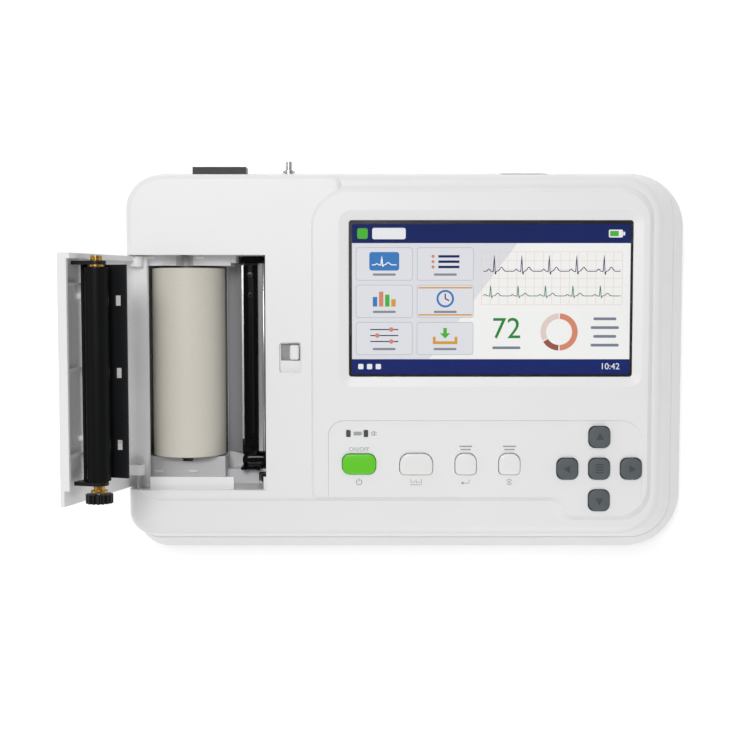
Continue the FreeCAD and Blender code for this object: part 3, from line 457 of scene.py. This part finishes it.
gloss_black = moulded("black ABS, polished tool", "060607", "0A0A0B", 0.14, grain=2.5, depth=0.02, edge=0.3,
                      shine=0.2)
block_low, block_middle, block_high = seat("head_blocks")
shoe_top = head_top - SHOE_DROP
shoe = block(block_middle.x, block_low.y + SHOE_DEPTH / 2, block_high.x - block_low.x, SHOE_DEPTH,
             SHOE_CORNER, [(block_low.z, 0.0)] + round_over(shoe_top, SHOE_ROUND))
neck = block(head_middle.x + NECK_OFF_X, block_low.y + NECK_FROM_FRONT, NECK_WIDTH, NECK_DEPTH, NECK_CORNER,
             [(block_low.z, 0.0)] + [(shoe_top + rise, inset) for rise, inset in NECK_EDGE])
rear = block(head_middle.x + REAR_OFF_X, block_high.y - REAR_DEPTH / 2, REAR_WIDTH, REAR_DEPTH, REAR_CORNER,
             [(block_low.z, 0.0)] + [(shoe_top + rise, inset) for rise, inset in REAR_EDGE])
horn_off, horn_z = FORK_HALF - HORN_ROUND, block_high.z - HORN_ROUND
fork_outline = [(head_middle.x - FORK_HALF, block_low.z), (head_middle.x + FORK_HALF, block_low.z)]
fork_outline += arc(head_middle.x + horn_off, horn_z, HORN_ROUND, 0, 90)
fork_outline += arc(head_middle.x, block_high.z + SLOT_RISE, FORK_SLOT, -15, -165, 10)
fork_outline += arc(head_middle.x - horn_off, horn_z, HORN_ROUND, 90, 180)
fork = [upright(fork_outline, y) for y in (block_low.y, block_low.y + FORK_THICK)]
end_blocks = piece("head_end_blocks", [shoe, neck, rear, fork], gloss_black, "housing",
                   sharp=35)
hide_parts("head_blocks")

# Paper guide: a strip of stainless steel seated beside the head, with a rolled bead along its edge.
# The marks of the rolling mill run along it, so it mirrors the room in long soft streaks.
STREAK_MM = 0.5         # real streaks are about 0.1 mm wide; drawn coarser so that they show
STREAK_LENGTH_MM = 60.0
STREAK_HEIGHT_MM = 0.05
BEAD_RADIUS, BEAD_STEPS = 0.75, 20
BEAD_IN, BEAD_UP = 0.2, 0.1
BEAD_TAPER, BEAD_END = 0.4, 0.6
strip, tree = new_material("stainless strip, rolled")
place = add_node(tree, "ShaderNodeTexCoord", {})
drawn = add_node(tree, "ShaderNodeMapping",
                 {"Scale": [1 / (length * MM) for length in (STREAK_MM, STREAK_LENGTH_MM, STREAK_MM)]},
                 {"Vector": place.outputs["Object"]})
streaks = add_node(tree, "ShaderNodeTexNoise", {"Scale": 1.0, "Detail": 3.0},
                   {"Vector": drawn.outputs["Vector"]})
tone = add_node(tree, "ShaderNodeMix",
                {"data_type": "RGBA", MIX_ONE: linear("B9BCBF"), MIX_TWO: linear("F4F5F5")},
                {"Factor": streaks.outputs["Fac"]})
rough = add_node(tree, "ShaderNodeMapRange", {"To Min": 0.14, "To Max": 0.32},
                 {"Value": streaks.outputs["Fac"]})
bump = add_node(tree, "ShaderNodeBump", {"Strength": 0.15, "Distance": STREAK_HEIGHT_MM * MM},
                {"Height": streaks.outputs["Fac"]})
steel = add_node(tree, "ShaderNodeBsdfPrincipled", {"Metallic": 1.0},
                 {"Base Color": tone.outputs[MIX_RESULT], "Roughness": rough.outputs["Result"],
                  "Normal": bump.outputs["Normal"]})
add_node(tree, "ShaderNodeOutputMaterial", {}, {"Surface": steel.outputs["BSDF"]})
dress(strip, "guide_bar")
guide_low, _, guide_high = seat("guide_bar")
bead_x, bead_z = guide_high.x - BEAD_IN, guide_high.z + BEAD_UP
bead = []
for y, size in ((guide_low.y, BEAD_END), (guide_low.y + BEAD_TAPER, 1.0),
                (guide_high.y - BEAD_TAPER, 1.0), (guide_high.y, BEAD_END)):
    bead.append(upright(disc(bead_x, bead_z, BEAD_RADIUS * size, BEAD_STEPS), y))
piece("guide_rolled_bead", [bead], strip, "housing")

# Drive: a moulded gear on a steel arbor, turned by the brass pinion of a small motor beside the well.
# The gear is self-lubricating black acetal, a touch duller than the blocks; turned brass is bright and warm.
acetal = moulded("black acetal, moulded", "171718", "1E1E1F", 0.42, edge=0.12, shine=0.35)
dress(acetal, "drive_gear", "platen_gear")
brass = turned_metal("brass, turned", "C79A4B", 0.22)
dress(brass, "roller_bushings", "motor_pinion")

# Platen: a ground black rubber roller on a steel shaft, in a black carrier on the inside of the door.
# Ground rubber has an even velvet gloss with a soft streak of light along it.
platen_rubber = moulded("black rubber, ground", "090A0B", "0E0F10", 0.42, grain=0.7, depth=0.05, shine=0.1)
dress(platen_rubber, "platen_rubber")
dress(black_abs, "roller_carrier")

# Cover glass: a pane with ground edges, glued into the window of the upper shell over the colour panel.
# Float glass is flat and clear, its coating holds back most of the reflection, and faint smears soften the
# rest. The panel under it has a border of printed black, flat and dull.
GLASS_UNDER = 67.4
GLASS_CHAMFER = 0.25
GLASS_RADIUS = 1.7
SMEAR_MM = 25.0         # the width of a wipe with a cloth
dress(moulded("display border, black printed", "0B0C10", "101116", 0.3), "lcd_panel")
glass, tree = new_material("float glass, anti-reflection coated")
place = add_node(tree, "ShaderNodeTexCoord", {})
smear = add_node(tree, "ShaderNodeTexNoise", {"Scale": 1 / (SMEAR_MM * MM), "Detail": 3.0},
                 {"Vector": place.outputs["Object"]})
rough = add_node(tree, "ShaderNodeMapRange", {"To Min": 0.0, "To Max": 0.03}, {"Value": smear.outputs["Fac"]})
pane = add_node(tree, "ShaderNodeBsdfPrincipled",
                {"Base Color": linear("FDFDFE"), "IOR": 1.5, "Specular IOR Level": 0.14,
                 "Transmission Weight": 1.0},
                {"Roughness": rough.outputs["Result"]})
add_node(tree, "ShaderNodeOutputMaterial", {}, {"Surface": pane.outputs["BSDF"]})
glass_low, glass_middle, glass_high = seat("screen_glass")
pane_rings = block(glass_middle.x, glass_middle.y, glass_high.x - glass_low.x, glass_high.y - glass_low.y,
                   GLASS_RADIUS, ((GLASS_UNDER, 0.0), (glass_high.z - GLASS_CHAMFER, 0.0),
                                  (glass_high.z, GLASS_CHAMFER)))
cover_glass = piece("cover_glass", [pane_rings], glass, "housing")
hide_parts("screen_glass")

# Display picture: what the colour panel shows, as thin films of one colour each, on layers over its face.
# Two navy bars, six plain menu tiles, a chart with two traces, a number, a ring gauge and rows of lines.
# A pale grey wedge at the upper left is a painted glare of light on the glass. The films are lit from behind,
# so they glow evenly.
BORDER_LEFT, BORDER_RIGHT, BORDER_FRONT, BORDER_BACK = 1.8, 1.4, 1.55, 2.15
BAR_FRONT, BAR_BACK = 8.5, 10.8
LAYER_MM = 0.05
LAYER_SUNK = 0.2        # share of a layer by which a film reaches into the one below
FIGURES_LOW, FIGURES_HIGH = 0.1, 0.16
NAVY, FOOT_NAVY, LEAF = "0A1F60", "10246C", "4FB83C"
SALMON, SKY, AMBER = "DE8E72", "3F7FC4", "DDA23C"
GLOW_CLOUD_MM = 60.0    # slow drift of brightness over the light guide
GLOW_DIM = 0.93
FONT_SCALE = 1.4        # size of the font over the height of its figures
CURVE_STEPS = 5
MERGE_MM = 0.004        # points of a letter closer than this are one
BAND_STEPS = 24
PAINTED_GLARE_FRONT, PAINTED_GLARE_BACK = 44.0, 94.0
TILE_GAP, TILES_LEFT, TILES_WIDE = 2.4, 2.2, 67.0
TILE_EDGE = 0.7
GRID_MM, GRID_COLUMNS, GRID_ROWS = 5.0, 16, 6
GRID_LEFT, GRID_FRONT = 73.6, 31.0
BEAT_POINTS, BEATS = 60, 5
TRACES = ((NAVY, 19.0, 9.0, 0.0), ("2F7D5B", 5.0, 6.0, 0.13))   # colour, level, swing and share it is late
TRACE_IN, TRACE_LONG = 1.0, 78.0
GAUGE_INNER, GAUGE_OUTER = 7.4, 10.6
films = {}


def ribbon(path, width, low, high):
    """Rings of a flat line along a path."""
    rings = []
    for k, (x, y) in enumerate(path):
        before, after = path[max(k - 1, 0)], path[min(k + 1, len(path) - 1)]
        run = Vector((after[0] - before[0], after[1] - before[1])).normalized()
        across, along = -run.y * width / 2, run.x * width / 2
        rings.append([(x + across, y + along, low), (x - across, y - along, low),
                      (x - across, y - along, high), (x + across, y + along, high)])
    return rings


def arc_band(x, y, inner, outer, start, end):
    """Outline of a part of a ring between two angles in degrees."""
    return arc(x, y, outer, start, end, BAND_STEPS) + arc(x, y, inner, end, start, BAND_STEPS)


def moved(points, middle):
    """Points given from a middle."""
    return [(middle[0] + x, middle[1] + y) for x, y in points]


def lit_film(name, colour):
    """Backlit film: an even glow with the slight clouding of the light guide."""
    material, tree = new_material(name)
    place = add_node(tree, "ShaderNodeTexCoord", {})
    cloud = add_node(tree, "ShaderNodeTexNoise", {"Scale": 1 / (GLOW_CLOUD_MM * MM), "Detail": 2.0},
                     {"Vector": place.outputs["Object"]})
    full = linear(colour)
    dim = [c * GLOW_DIM for c in full[:3]] + [1.0]
    tone = add_node(tree, "ShaderNodeMix", {"data_type": "RGBA", MIX_ONE: full, MIX_TWO: dim},
                    {"Factor": cloud.outputs["Fac"]})
    film = add_node(tree, "ShaderNodeBsdfPrincipled",
                    {"Base Color": linear("050506"), "Roughness": 0.5, "Specular IOR Level": 0.0,
                     "Emission Strength": 1.0},
                    {"Emission Color": tone.outputs[MIX_RESULT]})
    add_node(tree, "ShaderNodeOutputMaterial", {}, {"Surface": film.outputs["BSDF"]})
    return material


def shown(name, colour, layer, outlines=(), lines=(), width=0.5):
    """Shapes of one colour on the display, on a layer counted up from the panel."""
    if colour not in films:
        films[colour] = lit_film("liquid crystal film, lit " + colour, colour)
    low, high = glass_low.z + (layer - LAYER_SUNK) * LAYER_MM, glass_low.z + (layer + 1) * LAYER_MM
    shells = [plate(outline, low, high) for outline in outlines]
    shells += [ribbon(path, width, low, high) for path in lines]
    return piece(name, shells, films[colour], "housing")


def lettering(name, words, height, x, y, low, high, material):
    """Flat numbers or letters, centred on a point, in Blender's own plain font."""
    script = bpy.data.curves.new(name, "FONT")
    script.body = words
    script.size = height * FONT_SCALE * MM
    script.extrude = (high - low) / 2 * MM
    script.align_x, script.align_y = "CENTER", "CENTER"
    script.resolution_u = CURVE_STEPS
    holder = bpy.data.objects.new(name, script)
    bpy.context.scene.collection.objects.link(holder)
    mesh = bpy.data.meshes.new_from_object(holder.evaluated_get(bpy.context.evaluated_depsgraph_get()))
    bpy.data.objects.remove(holder)
    bpy.data.curves.remove(script)
    mesh.transform(Matrix.Translation(Vector((x, y, (low + high) / 2)) * MM))
    form = bmesh.new()
    form.from_mesh(mesh)
    bmesh.ops.remove_doubles(form, verts=form.verts, dist=MERGE_MM * MM)
    bmesh.ops.recalc_face_normals(form, faces=form.faces)
    form.to_mesh(mesh)
    form.free()
    mesh.materials.clear()
    return place_piece(name, mesh, material, "housing", sharp=30)


def heartbeat(share):
    """Height of a trace at a share of one beat: three waves and a sharp peak between two dips."""
    waves = ((0.20, 0.035, 0.14), (0.365, 0.012, -0.12), (0.40, 0.016, 1.0), (0.44, 0.014, -0.28),
             (0.66, 0.055, 0.26))
    return sum(rise * math.exp(-((share - at) / spread) ** 2 / 2) for at, spread, rise in waves)


view_left, view_right = glass_low.x + BORDER_LEFT, glass_high.x - BORDER_RIGHT
view_front, view_back = glass_low.y + BORDER_FRONT, glass_high.y - BORDER_BACK
menu_front, menu_back = view_front + BAR_FRONT, view_back - BAR_BACK
bar_middle, foot_middle = (menu_back + view_back) / 2, (view_front + menu_front) / 2
figures_low, figures_high = glass_low.z + FIGURES_LOW, glass_low.z + FIGURES_HIGH
shown("display_ground", "FCFCF9", 0, [rect(view_left, view_front, view_right, view_back)])
# Painted glare: a pale grey wedge that stands in for a reflection on the cover glass.
sheen = [(view_left, menu_front), (view_left + PAINTED_GLARE_FRONT, menu_front), (view_left + PAINTED_GLARE_BACK, menu_back),
         (view_left, menu_back)]
shown("display_painted_glare", "E7E8EC", 1, [sheen])
shown("display_top_bar", NAVY, 1, [rect(view_left, menu_back, view_right, view_back)])
shown("display_foot_bar", FOOT_NAVY, 1, [rect(view_left, view_front, view_right, menu_front)])
shown("display_lamp", LEAF, 2, [rounded(view_left + 6, bar_middle, 6, 6, 1.2)])
battery = (view_right - 8.5, bar_middle)
fields = [rounded(view_left + 21, bar_middle, 19, 6.4, 1.2), rounded(*battery, 8, 4.4, 0.8),
          moved(rect(4.2, -1, 5.2, 1), battery)]
fields += [rounded(view_left + 5 + 5 * k, foot_middle, 3, 3, 0.6) for k in range(3)]
shown("display_fields", "F4F5F8", 2, fields)
shown("display_charge", LEAF, 3, [moved(rect(-3.3, -1.5, 1.6, 1.5), battery)])
lettering("display_clock", "10:42", 3.6, view_right - 11, foot_middle, figures_low, figures_high,
          lit_film("liquid crystal film, lit digits", "F2F4FA"))

tile_width = (TILES_WIDE - TILE_GAP) / 2
tile_depth = (menu_back - menu_front - 4 * TILE_GAP) / 3
tiles = [(view_left + TILES_LEFT + tile_width / 2 + column * (tile_width + TILE_GAP),
          menu_back - TILE_GAP - tile_depth / 2 - row * (tile_depth + TILE_GAP))
         for row in range(3) for column in range(2)]
shown("tile_edges", "C3C6CE", 2, [rounded(x, y, tile_width, tile_depth, 1.6) for x, y in tiles])
shown("tile_faces", "E9EAEE", 3,
      [rounded(x, y, tile_width - TILE_EDGE, tile_depth - TILE_EDGE, 1.3) for x, y in tiles])
pulse, rows, bars, clock, sliders, tray = tiles
shown("tile_choice", AMBER, 4, [], [moved([(-15.2, y), (15.2, y)], clock) for y in (-7.7, 7.7)], 0.8)
shown("tile_captions", "8C919C", 4, [rounded(x, y - 6, 13, 1.3, 0.5) for x, y in tiles])
shown("glyph_cards", SKY, 4, [moved(rounded(0, 1.5, 17, 10.5, 1.5), pulse),
                              moved(rect(-6.5, -3, -4, 2.5), bars),
                              moved(arc_band(0, 1.5, 3.8, 5.0, 0, 180), clock),
                              moved(arc_band(0, 1.5, 3.8, 5.0, 180, 360), clock)])
shares = [k / BEAT_POINTS for k in range(BEAT_POINTS + 1)]
beat = [(-7 + 14 * share, -0.5 + 5 * heartbeat(share)) for share in shares]
shown("glyph_pulse", "FFFFFF", 5, [], [moved(beat, pulse)], 0.55)
lines = [moved(rect(-4, -2.4 + 3 * k, 8, -1 + 3 * k), rows) for k in range(3)]
lines += [moved(rect(-8, -2 + 3.4 * k, 8, -1.4 + 3.4 * k), sliders) for k in range(3)]
hands = [moved([(0, 1.5), (0, 4.4)], clock), moved([(0, 1.5), (2.2, 0.4)], clock)]
shown("glyph_lines", NAVY, 4, lines, hands, 0.7)
dots = [moved(disc(-7, -1.7 + 3 * k, 0.9, 20), rows) for k in range(3)]
dots += [moved(disc(x, -1.7 + 3.4 * k, 1.3, 20), sliders) for k, x in enumerate((4, -4, 4))]
shown("glyph_dots", SALMON, 5, dots + [moved(rect(-3, -3, -0.5, 5.5), bars)])
shown("glyph_bars", LEAF, 4, [moved(rect(0.5, -3, 3, 3.8), bars),
                              moved([(-1, 6), (-1, 3), (-3, 3), (0, 0), (3, 3), (1, 3), (1, 6)], tray)])
shown("glyph_trays", AMBER, 4, [moved(rect(4, -3, 6.5, 1.2), bars),
                                moved([(-7, 1), (-7, -3.2), (7, -3.2), (7, 1), (5.4, 1), (5.4, -1.6),
                                       (-5.4, -1.6), (-5.4, 1)], tray)])

grid_left, grid_front = view_left + GRID_LEFT, menu_front + GRID_FRONT
grid_right, grid_back = grid_left + GRID_MM * GRID_COLUMNS, grid_front + GRID_MM * GRID_ROWS
uprights = [grid_left + GRID_MM * k for k in range(GRID_COLUMNS + 1)]
levels = [grid_front + GRID_MM * k for k in range(GRID_ROWS + 1)]
shown("chart_uprights", "F4D3CA", 2, [], [[(x, grid_front), (x, grid_back)] for x in uprights], 0.22)
shown("chart_levels", "F4D3CA", 3, [], [[(grid_left, y), (grid_right, y)] for y in levels], 0.22)
for row, (colour, level, swing, late) in enumerate(TRACES):
    trace = []
    for k in range(BEATS * BEAT_POINTS + 1):
        share = (k / BEAT_POINTS + late) % 1
        trace.append((grid_left + TRACE_IN + TRACE_LONG * k / (BEATS * BEAT_POINTS),
                      grid_front + level + swing * heartbeat(share)))
    shown("chart_trace_%d" % (row + 1), colour, 4 + row, [], [trace], 0.45)
lettering("display_rate", "72", 12, view_left + 88, menu_front + 17, figures_low, figures_high,
          lit_film("liquid crystal film, lit figures", "2B8A3E"))
gauge = (view_left + 118, menu_front + 15.5)
shown("gauge_rest", "E9D6CD", 2, [arc_band(*gauge, GAUGE_INNER, GAUGE_OUTER, 92, 208)])
shown("gauge_part", SALMON, 2, [arc_band(*gauge, GAUGE_INNER, GAUGE_OUTER, -88, 88)])
shown("gauge_end", "9C5A48", 2, [arc_band(*gauge, GAUGE_INNER, GAUGE_OUTER, 212, 268)])
text_rows = [rounded(view_left + 144, menu_front + 8 + 5 * k, 16 - 3 * (k % 2), 1.6, 0.6) for k in range(4)]
shown("display_rows", "7E8798", 2, text_rows + [rounded(view_left + 88, menu_front + 6.5, 16, 1.5, 0.6)])

# Keys: a green power key, three white keys and five grey arrow keys, each a push button in its own hole.
# The first four are gloss-moulded ABS with a crowned top that takes a small soft highlight. The arrow keys
# are moulded silicone, matt to the eye, with their signs in low relief.
KEY_FLANGE = 0.8        # a key is wider than its cap by this much on each side, under the panel
KEY_ROUND = 0.7
KEY_CROWN = 0.18
CROWN_RINGS = ((0.7, 2.6), (1.0, 4.4))   # share of the crown's height, and inset
SIGN_PROUD, SIGN_SUNK = 0.07, 0.2
ARROW_SIZE = 2.5
ARROW_TURNS = {"up_key": 90, "down_key": 270, "left_key": 180, "right_key": 0}
LINE_HALF, LINE_LEVELS = (2.2, 0.3), (-2.0, -0.5, 1.0, 2.5)
# Each key has its corner radii at the front and at the back, and its slot.
key_looks = {"power_key": ((4.2, 4.2), "key_green"), "print_key": ((2.4, 5.5), "key_white"),
             "mode_key": ((2.4, 4.8), "key_white"), "lead_key": ((2.4, 4.8), "key_white")}
for side in ("up", "down", "left", "right", "enter"):
    key_looks[side + "_key"] = ((4.3, 4.3), "key_grey")
key_finishes = {"key_green": moulded("green ABS, gloss-moulded", "68D325", "60CA20", 0.3),
                "key_white": moulded("white ABS, gloss-moulded", "F0F0EF", "EBEBEA", 0.26),
                "key_grey": moulded("grey silicone, moulded", "535A5E", "4D5458", 0.5)}
sign_silicone = moulded("dark silicone, moulded in relief", "3E4448", "383E42", 0.5)


def triangle(x, y, size, turn):
    """Outline of an arrow head that points at an angle in degrees."""
    return arc(x, y, size, turn, turn + 240, 2)


for node, ((front, back), finish) in key_looks.items():
    low, middle, high = seat(node)
    profile = [(low.z, 0.0)] + round_over(high.z, KEY_ROUND)
    profile += [(high.z + KEY_CROWN * share, inset) for share, inset in CROWN_RINGS]
    rings = block(middle.x, middle.y, high.x - low.x - 2 * KEY_FLANGE, high.y - low.y - 2 * KEY_FLANGE,
                  (front, front, back, back), profile)
    body = node.replace("_key", "_button")
    cap = piece(node + "_cap", [rings], key_finishes[finish], body)
    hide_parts(node)
    sign_low, sign_high = high.z - SIGN_SUNK, high.z + KEY_CROWN + SIGN_PROUD
    if node in ARROW_TURNS:
        arrow = triangle(middle.x, middle.y, ARROW_SIZE, ARROW_TURNS[node])
        piece(node + "_arrow", [plate(arrow, sign_low, sign_high)], sign_silicone, body)
    if node == "enter_key":
        half_x, half_y = LINE_HALF
        strokes = [moved(rect(-half_x, y - half_y, half_x, y + half_y), middle) for y in LINE_LEVELS]
        piece(node + "_lines", [plate(stroke, sign_low, sign_high) for stroke in strokes], sign_silicone,
              body)

# Panel marks and lamps: small grey signs screen-printed round the keys, and two smoked lenses pressed in.
# The ink lies on the tilted floor of the keypad; it is matt and a little uneven in its cover. Smoked acrylic
# is glossy and dark.
HOLLOW_BACK, HOLLOW_FRONT = -33.0, -91.5
HOLLOW_DEPTH = 0.9
PANEL_TOP = 69.5
INK_PROUD, INK_SUNK, LETTER_SUNK = 0.05, 0.2, 0.1
POWER_X, BATTERY_X, PLUG_X = -25.9, -26.8, -17.6
LAMP_Y, UPPER_Y, SWITCH_Y, LOWER_Y = -40.5, -48.8, -49.6, -68.4
SWITCH_HEIGHT = 2.3
dress(moulded("smoked acrylic, moulded", "4A4D50", "55585B", 0.2, edge=0.15, ior=1.49), "indicator_lenses")
print_ink = moulded("grey ink, screen-printed", "9A9DA0", "A8ABAE", 0.6, grain=0.5, depth=0.1, edge=0.05)


def panel_at(y):
    """Height of the keypad's floor."""
    return PANEL_TOP - HOLLOW_DEPTH * (y - HOLLOW_FRONT) / (HOLLOW_BACK - HOLLOW_FRONT)


def printed(name, middle, outlines=(), lines=(), width=0.45):
    """Ink shapes on the keypad, given from a middle."""
    low, high = panel_at(middle[1]) - INK_SUNK, panel_at(middle[1]) + INK_PROUD
    shells = [plate(moved(outline, middle), low, high) for outline in outlines]
    shells += [ribbon(moved(path, middle), width, low, high) for path in lines]
    return piece(name, shells, print_ink, "housing")


lettering("print_switch", "ON/OFF", SWITCH_HEIGHT, POWER_X, SWITCH_Y, panel_at(SWITCH_Y) - LETTER_SUNK,
          panel_at(SWITCH_Y) + INK_PROUD, print_ink)
printed("print_power", (POWER_X, LOWER_Y), [arc_band(0, 0, 1.35, 1.8, 120, 420)], [[(0, 0.4), (0, 2.1)]])
printed("print_battery", (BATTERY_X, LAMP_Y), [rounded(0, 0, 4.4, 2.2, 0.4), rect(2.3, -0.5, 2.7, 0.5)])
printed("print_plug", (PLUG_X, LAMP_Y), [arc_band(0, 0, 0.9, 1.4, 100, 260), rect(0, -1.3, 0.7, 1.3)],
        [[(0.8, y), (1.9, y)] for y in (-0.7, 0.7)], 0.4)
page = [[(-3, 1.6), (-3, -1.6), (3, -1.6), (3, 1.6)],
        [(-2.4, 0), (-0.8, 0), (-0.2, 1.2), (0.6, -0.9), (1.1, 0), (2.4, 0)]]
printed("print_page", (seat("print_key")[1].x, LOWER_Y), [], page, 0.4)
for node in ("mode_key", "lead_key"):
    x = seat(node)[1].x
    printed(node + "_mark", (x, UPPER_Y), [rounded(0, 0.9, 7.4, 0.8, 0.3), rounded(0, -0.9, 6.0, 0.8, 0.3)])
    if node == "mode_key":
        printed("print_return", (x, LOWER_Y), [triangle(-1.8, -0.6, 1.1, 180)],
                [[(2, 1.3), (2, -0.6), (-1.6, -0.6)]], 0.4)
    else:
        printed("print_target", (x, LOWER_Y), [disc(0, 0, 0.6, 20), arc_band(0, 0, 1.3, 1.7, 20, 160),
                                               arc_band(0, 0, 1.3, 1.7, 200, 340)])

# Door latch: a white thumb piece that slides in a shallow recess of the deck and frees the paper door.
# It is moulded glossier than the deck; a thin slide plate under it shows through the slot beside it, coloured
# grey as painted shade of the recess.
SLIDE_PROUD, SLIDE_SUNK = 0.16, 0.3
SLIDE_LEFT_IN, SLIDE_RIGHT_IN, SLIDE_END_IN = 0.2, 0.9, 0.3
SLIDE_UP = 1.7
SLIDE_CORNER = 0.8
dress(key_finishes["key_white"], "latch_slider")
latch_low, latch_middle, latch_high = seat("latch_slider")
slide_left, slide_right = latch_low.x + SLIDE_LEFT_IN, latch_middle.x - SLIDE_RIGHT_IN
slide_top = latch_low.z + SLIDE_UP
slide_plate = rounded((slide_left + slide_right) / 2, latch_middle.y, slide_right - slide_left,
                      latch_high.y - latch_low.y - 2 * SLIDE_END_IN, SLIDE_CORNER)
piece("latch_slide_plate", [plate(slide_plate, slide_top - SLIDE_SUNK, slide_top + SLIDE_PROUD)], grey_abs_painted_shade,
      "latch")

# Patient socket: a black moulded block in the back wall with two rows of contacts, pressed in from inside.
# The contacts are turned brass with a flash of gilt, so each one shows as a small warm glint.
CONTACT_ROWS = ((1.6, 8), (-1.6, 7))   # height over the middle, and number
CONTACT_STEP, CONTACT_STEPS = 2.75, 16
CONTACT_PROFILE = ((-1.0, 0.62), (0.05, 0.62), (0.15, 0.5), (0.08, 0.3))   # reach past the face, and radius
dress(black_abs, "lead_connector")
gilt = turned_metal("brass contacts, gilt", "D8B25A", 0.2)
_, socket_middle, socket_high = seat("lead_connector")
contacts = []
for up, count in CONTACT_ROWS:
    for k in range(count):
        x = socket_middle.x + (k - (count - 1) / 2) * CONTACT_STEP
        contacts.append([upright(disc(x, socket_middle.z + up, radius, CONTACT_STEPS), socket_high.y + reach)
                         for reach, radius in CONTACT_PROFILE])
piece("socket_contacts", contacts, gilt, "housing", sharp=30)

# Mains inlet: a black moulded frame flush in the leaning back wall, open to the back, with three blades.
# It snaps into the wall from outside. The blades are plated steel and catch the light in the dark socket.
INLET_FACE_LOW, INLET_FACE_HIGH = 109.95, 107.84   # where the leaning wall lies at the frame's foot and top
INLET_CORNER, INLET_RIM, INLET_ROUND, INLET_PROUD = 2.0, 1.5, 0.4, 0.15
INLET_DEPTH, INLET_HOLLOW = 19.0, 15.0
BLADES = ((-7, -1), (7, -1), (0, 3))
BLADE_WIDTH, BLADE_DEPTH, BLADE_CORNER = 2.0, 4.0, 0.5
BLADE_PROFILE = ((15.5, 0.0), (3.7, 0.0), (3.0, 0.35))   # depth behind the face, and inset
inlet_low, inlet_middle, inlet_high = seat("mains_inlet")
inlet_size = inlet_high - inlet_low


def inlet_outline(inset):
    """Outline of the inlet in X and Z."""
    return rounded(inlet_middle.x, inlet_middle.z, inlet_size.x, inlet_size.z, INLET_CORNER, inset)


def on_wall(outline, proud):
    """Ring on the leaning wall from an outline in X and Z."""
    lean = (INLET_FACE_LOW - INLET_FACE_HIGH) / inlet_size.z
    return [(x, INLET_FACE_LOW - lean * (z - inlet_low.z) + proud, z) for x, z in outline]


frame_rings = [upright(inlet_outline(0.0), inlet_high.y - INLET_DEPTH), on_wall(inlet_outline(0.0), 0.0),
               on_wall(inlet_outline(INLET_ROUND), INLET_PROUD), on_wall(inlet_outline(INLET_RIM), 0.0),
               upright(inlet_outline(INLET_RIM), inlet_high.y - INLET_HOLLOW)]
inlet = piece("mains_inlet_frame", [frame_rings], black_abs, "housing")
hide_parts("mains_inlet")
blades = []
for across, up in BLADES:
    x, z = inlet_middle.x + across, inlet_middle.z + up
    blades.append([upright(rounded(x, z, BLADE_WIDTH, BLADE_DEPTH, BLADE_CORNER, inset), inlet_high.y - depth)
                   for depth, inset in BLADE_PROFILE])
piece("inlet_blades", blades, plated_steel, "housing")

# Floor: a seamless sheet of pale matt studio paper that the object stands on.
# It is lit through from below, so that it stays white to the edge of the picture.
FLOOR_SIZE = 6.0
FLOOR_GLOW = 0.25
bpy.ops.mesh.primitive_plane_add(size=FLOOR_SIZE, location=(0, 0, cad_box[0].z))
floor = bpy.context.object
floor.name = "floor"
floor_paper, tree = new_material("studio paper, pale")
matt = add_node(tree, "ShaderNodeBsdfPrincipled",
                {"Base Color": linear("F8F8F8"), "Roughness": 0.9, "Emission Color": linear("FFFFFF"),
                 "Emission Strength": FLOOR_GLOW})
add_node(tree, "ShaderNodeOutputMaterial", {}, {"Surface": matt.outputs["BSDF"]})
floor.data.materials.append(floor_paper)

# Light: a soft box nearly overhead at the back left and a wider one from the front, in a pale room like a
# light tent. The room is darkest overhead and brightest low at the back left, so that edges shine and flat
# gloss stays dark.
ROOM = 0.9
ROOM_LEANS = (-0.16, 0.19, -0.72)
KEY_PLACE, KEY_SIZE, KEY_WATTS = (-0.25, 0.4, 1.3), 0.4, 7.0
FRONT_PLACE, FRONT_SIZE, FRONT_WATTS = (0.28, -0.95, 1.05), 0.8, 5.3
LIGHT_AIM = (0, 0, 0.05)
world = bpy.data.worlds.new("pale room")
bpy.context.scene.world = world
world.use_nodes = True
tree = world.node_tree
tree.nodes.clear()
place = add_node(tree, "ShaderNodeTexCoord", {})
slope = add_node(tree, "ShaderNodeVectorMath", {"operation": "DOT_PRODUCT", 1: ROOM_LEANS},
                 {0: place.outputs["Generated"]})
glow = add_node(tree, "ShaderNodeMath", {"operation": "ADD", 1: ROOM}, {0: slope.outputs["Value"]})
room = add_node(tree, "ShaderNodeBackground", {"Color": linear("FAFAFA")},
                {"Strength": glow.outputs["Value"]})
add_node(tree, "ShaderNodeOutputWorld", {}, {"Surface": room.outputs["Background"]})


def soft_box(name, place, size, power):
    """Square area light at a place, turned to the object."""
    lamp = bpy.data.lights.new(name, "AREA")
    lamp.size, lamp.energy = size, power
    holder = bpy.data.objects.new(name, lamp)
    bpy.context.scene.collection.objects.link(holder)
    holder.location = place
    holder.rotation_euler = (Vector(LIGHT_AIM) - Vector(place)).to_track_quat("-Z", "Y").to_euler()


soft_box("key light", KEY_PLACE, KEY_SIZE, KEY_WATTS)
soft_box("front light", FRONT_PLACE, FRONT_SIZE, FRONT_WATTS)

# Camera: almost straight above and a little behind the middle, as the object was photographed.
# The focal length follows from the picture's width in pixels, and colours are shown as they are.
CAMERA_PLACE = (-0.0168, 0.0403, 0.790)
CAMERA_TILT = -3.75
FOCAL_PIXELS = 1268
IMAGE_WIDTH = 750
lens = bpy.data.cameras.new("camera")
lens.lens = FOCAL_PIXELS * lens.sensor_width / IMAGE_WIDTH
camera = bpy.data.objects.new("camera", lens)
bpy.context.scene.collection.objects.link(camera)
camera.location = CAMERA_PLACE
camera.rotation_euler = (math.radians(CAMERA_TILT), 0, 0)
bpy.context.scene.camera = camera
bpy.context.scene.view_settings.view_transform = "Standard"
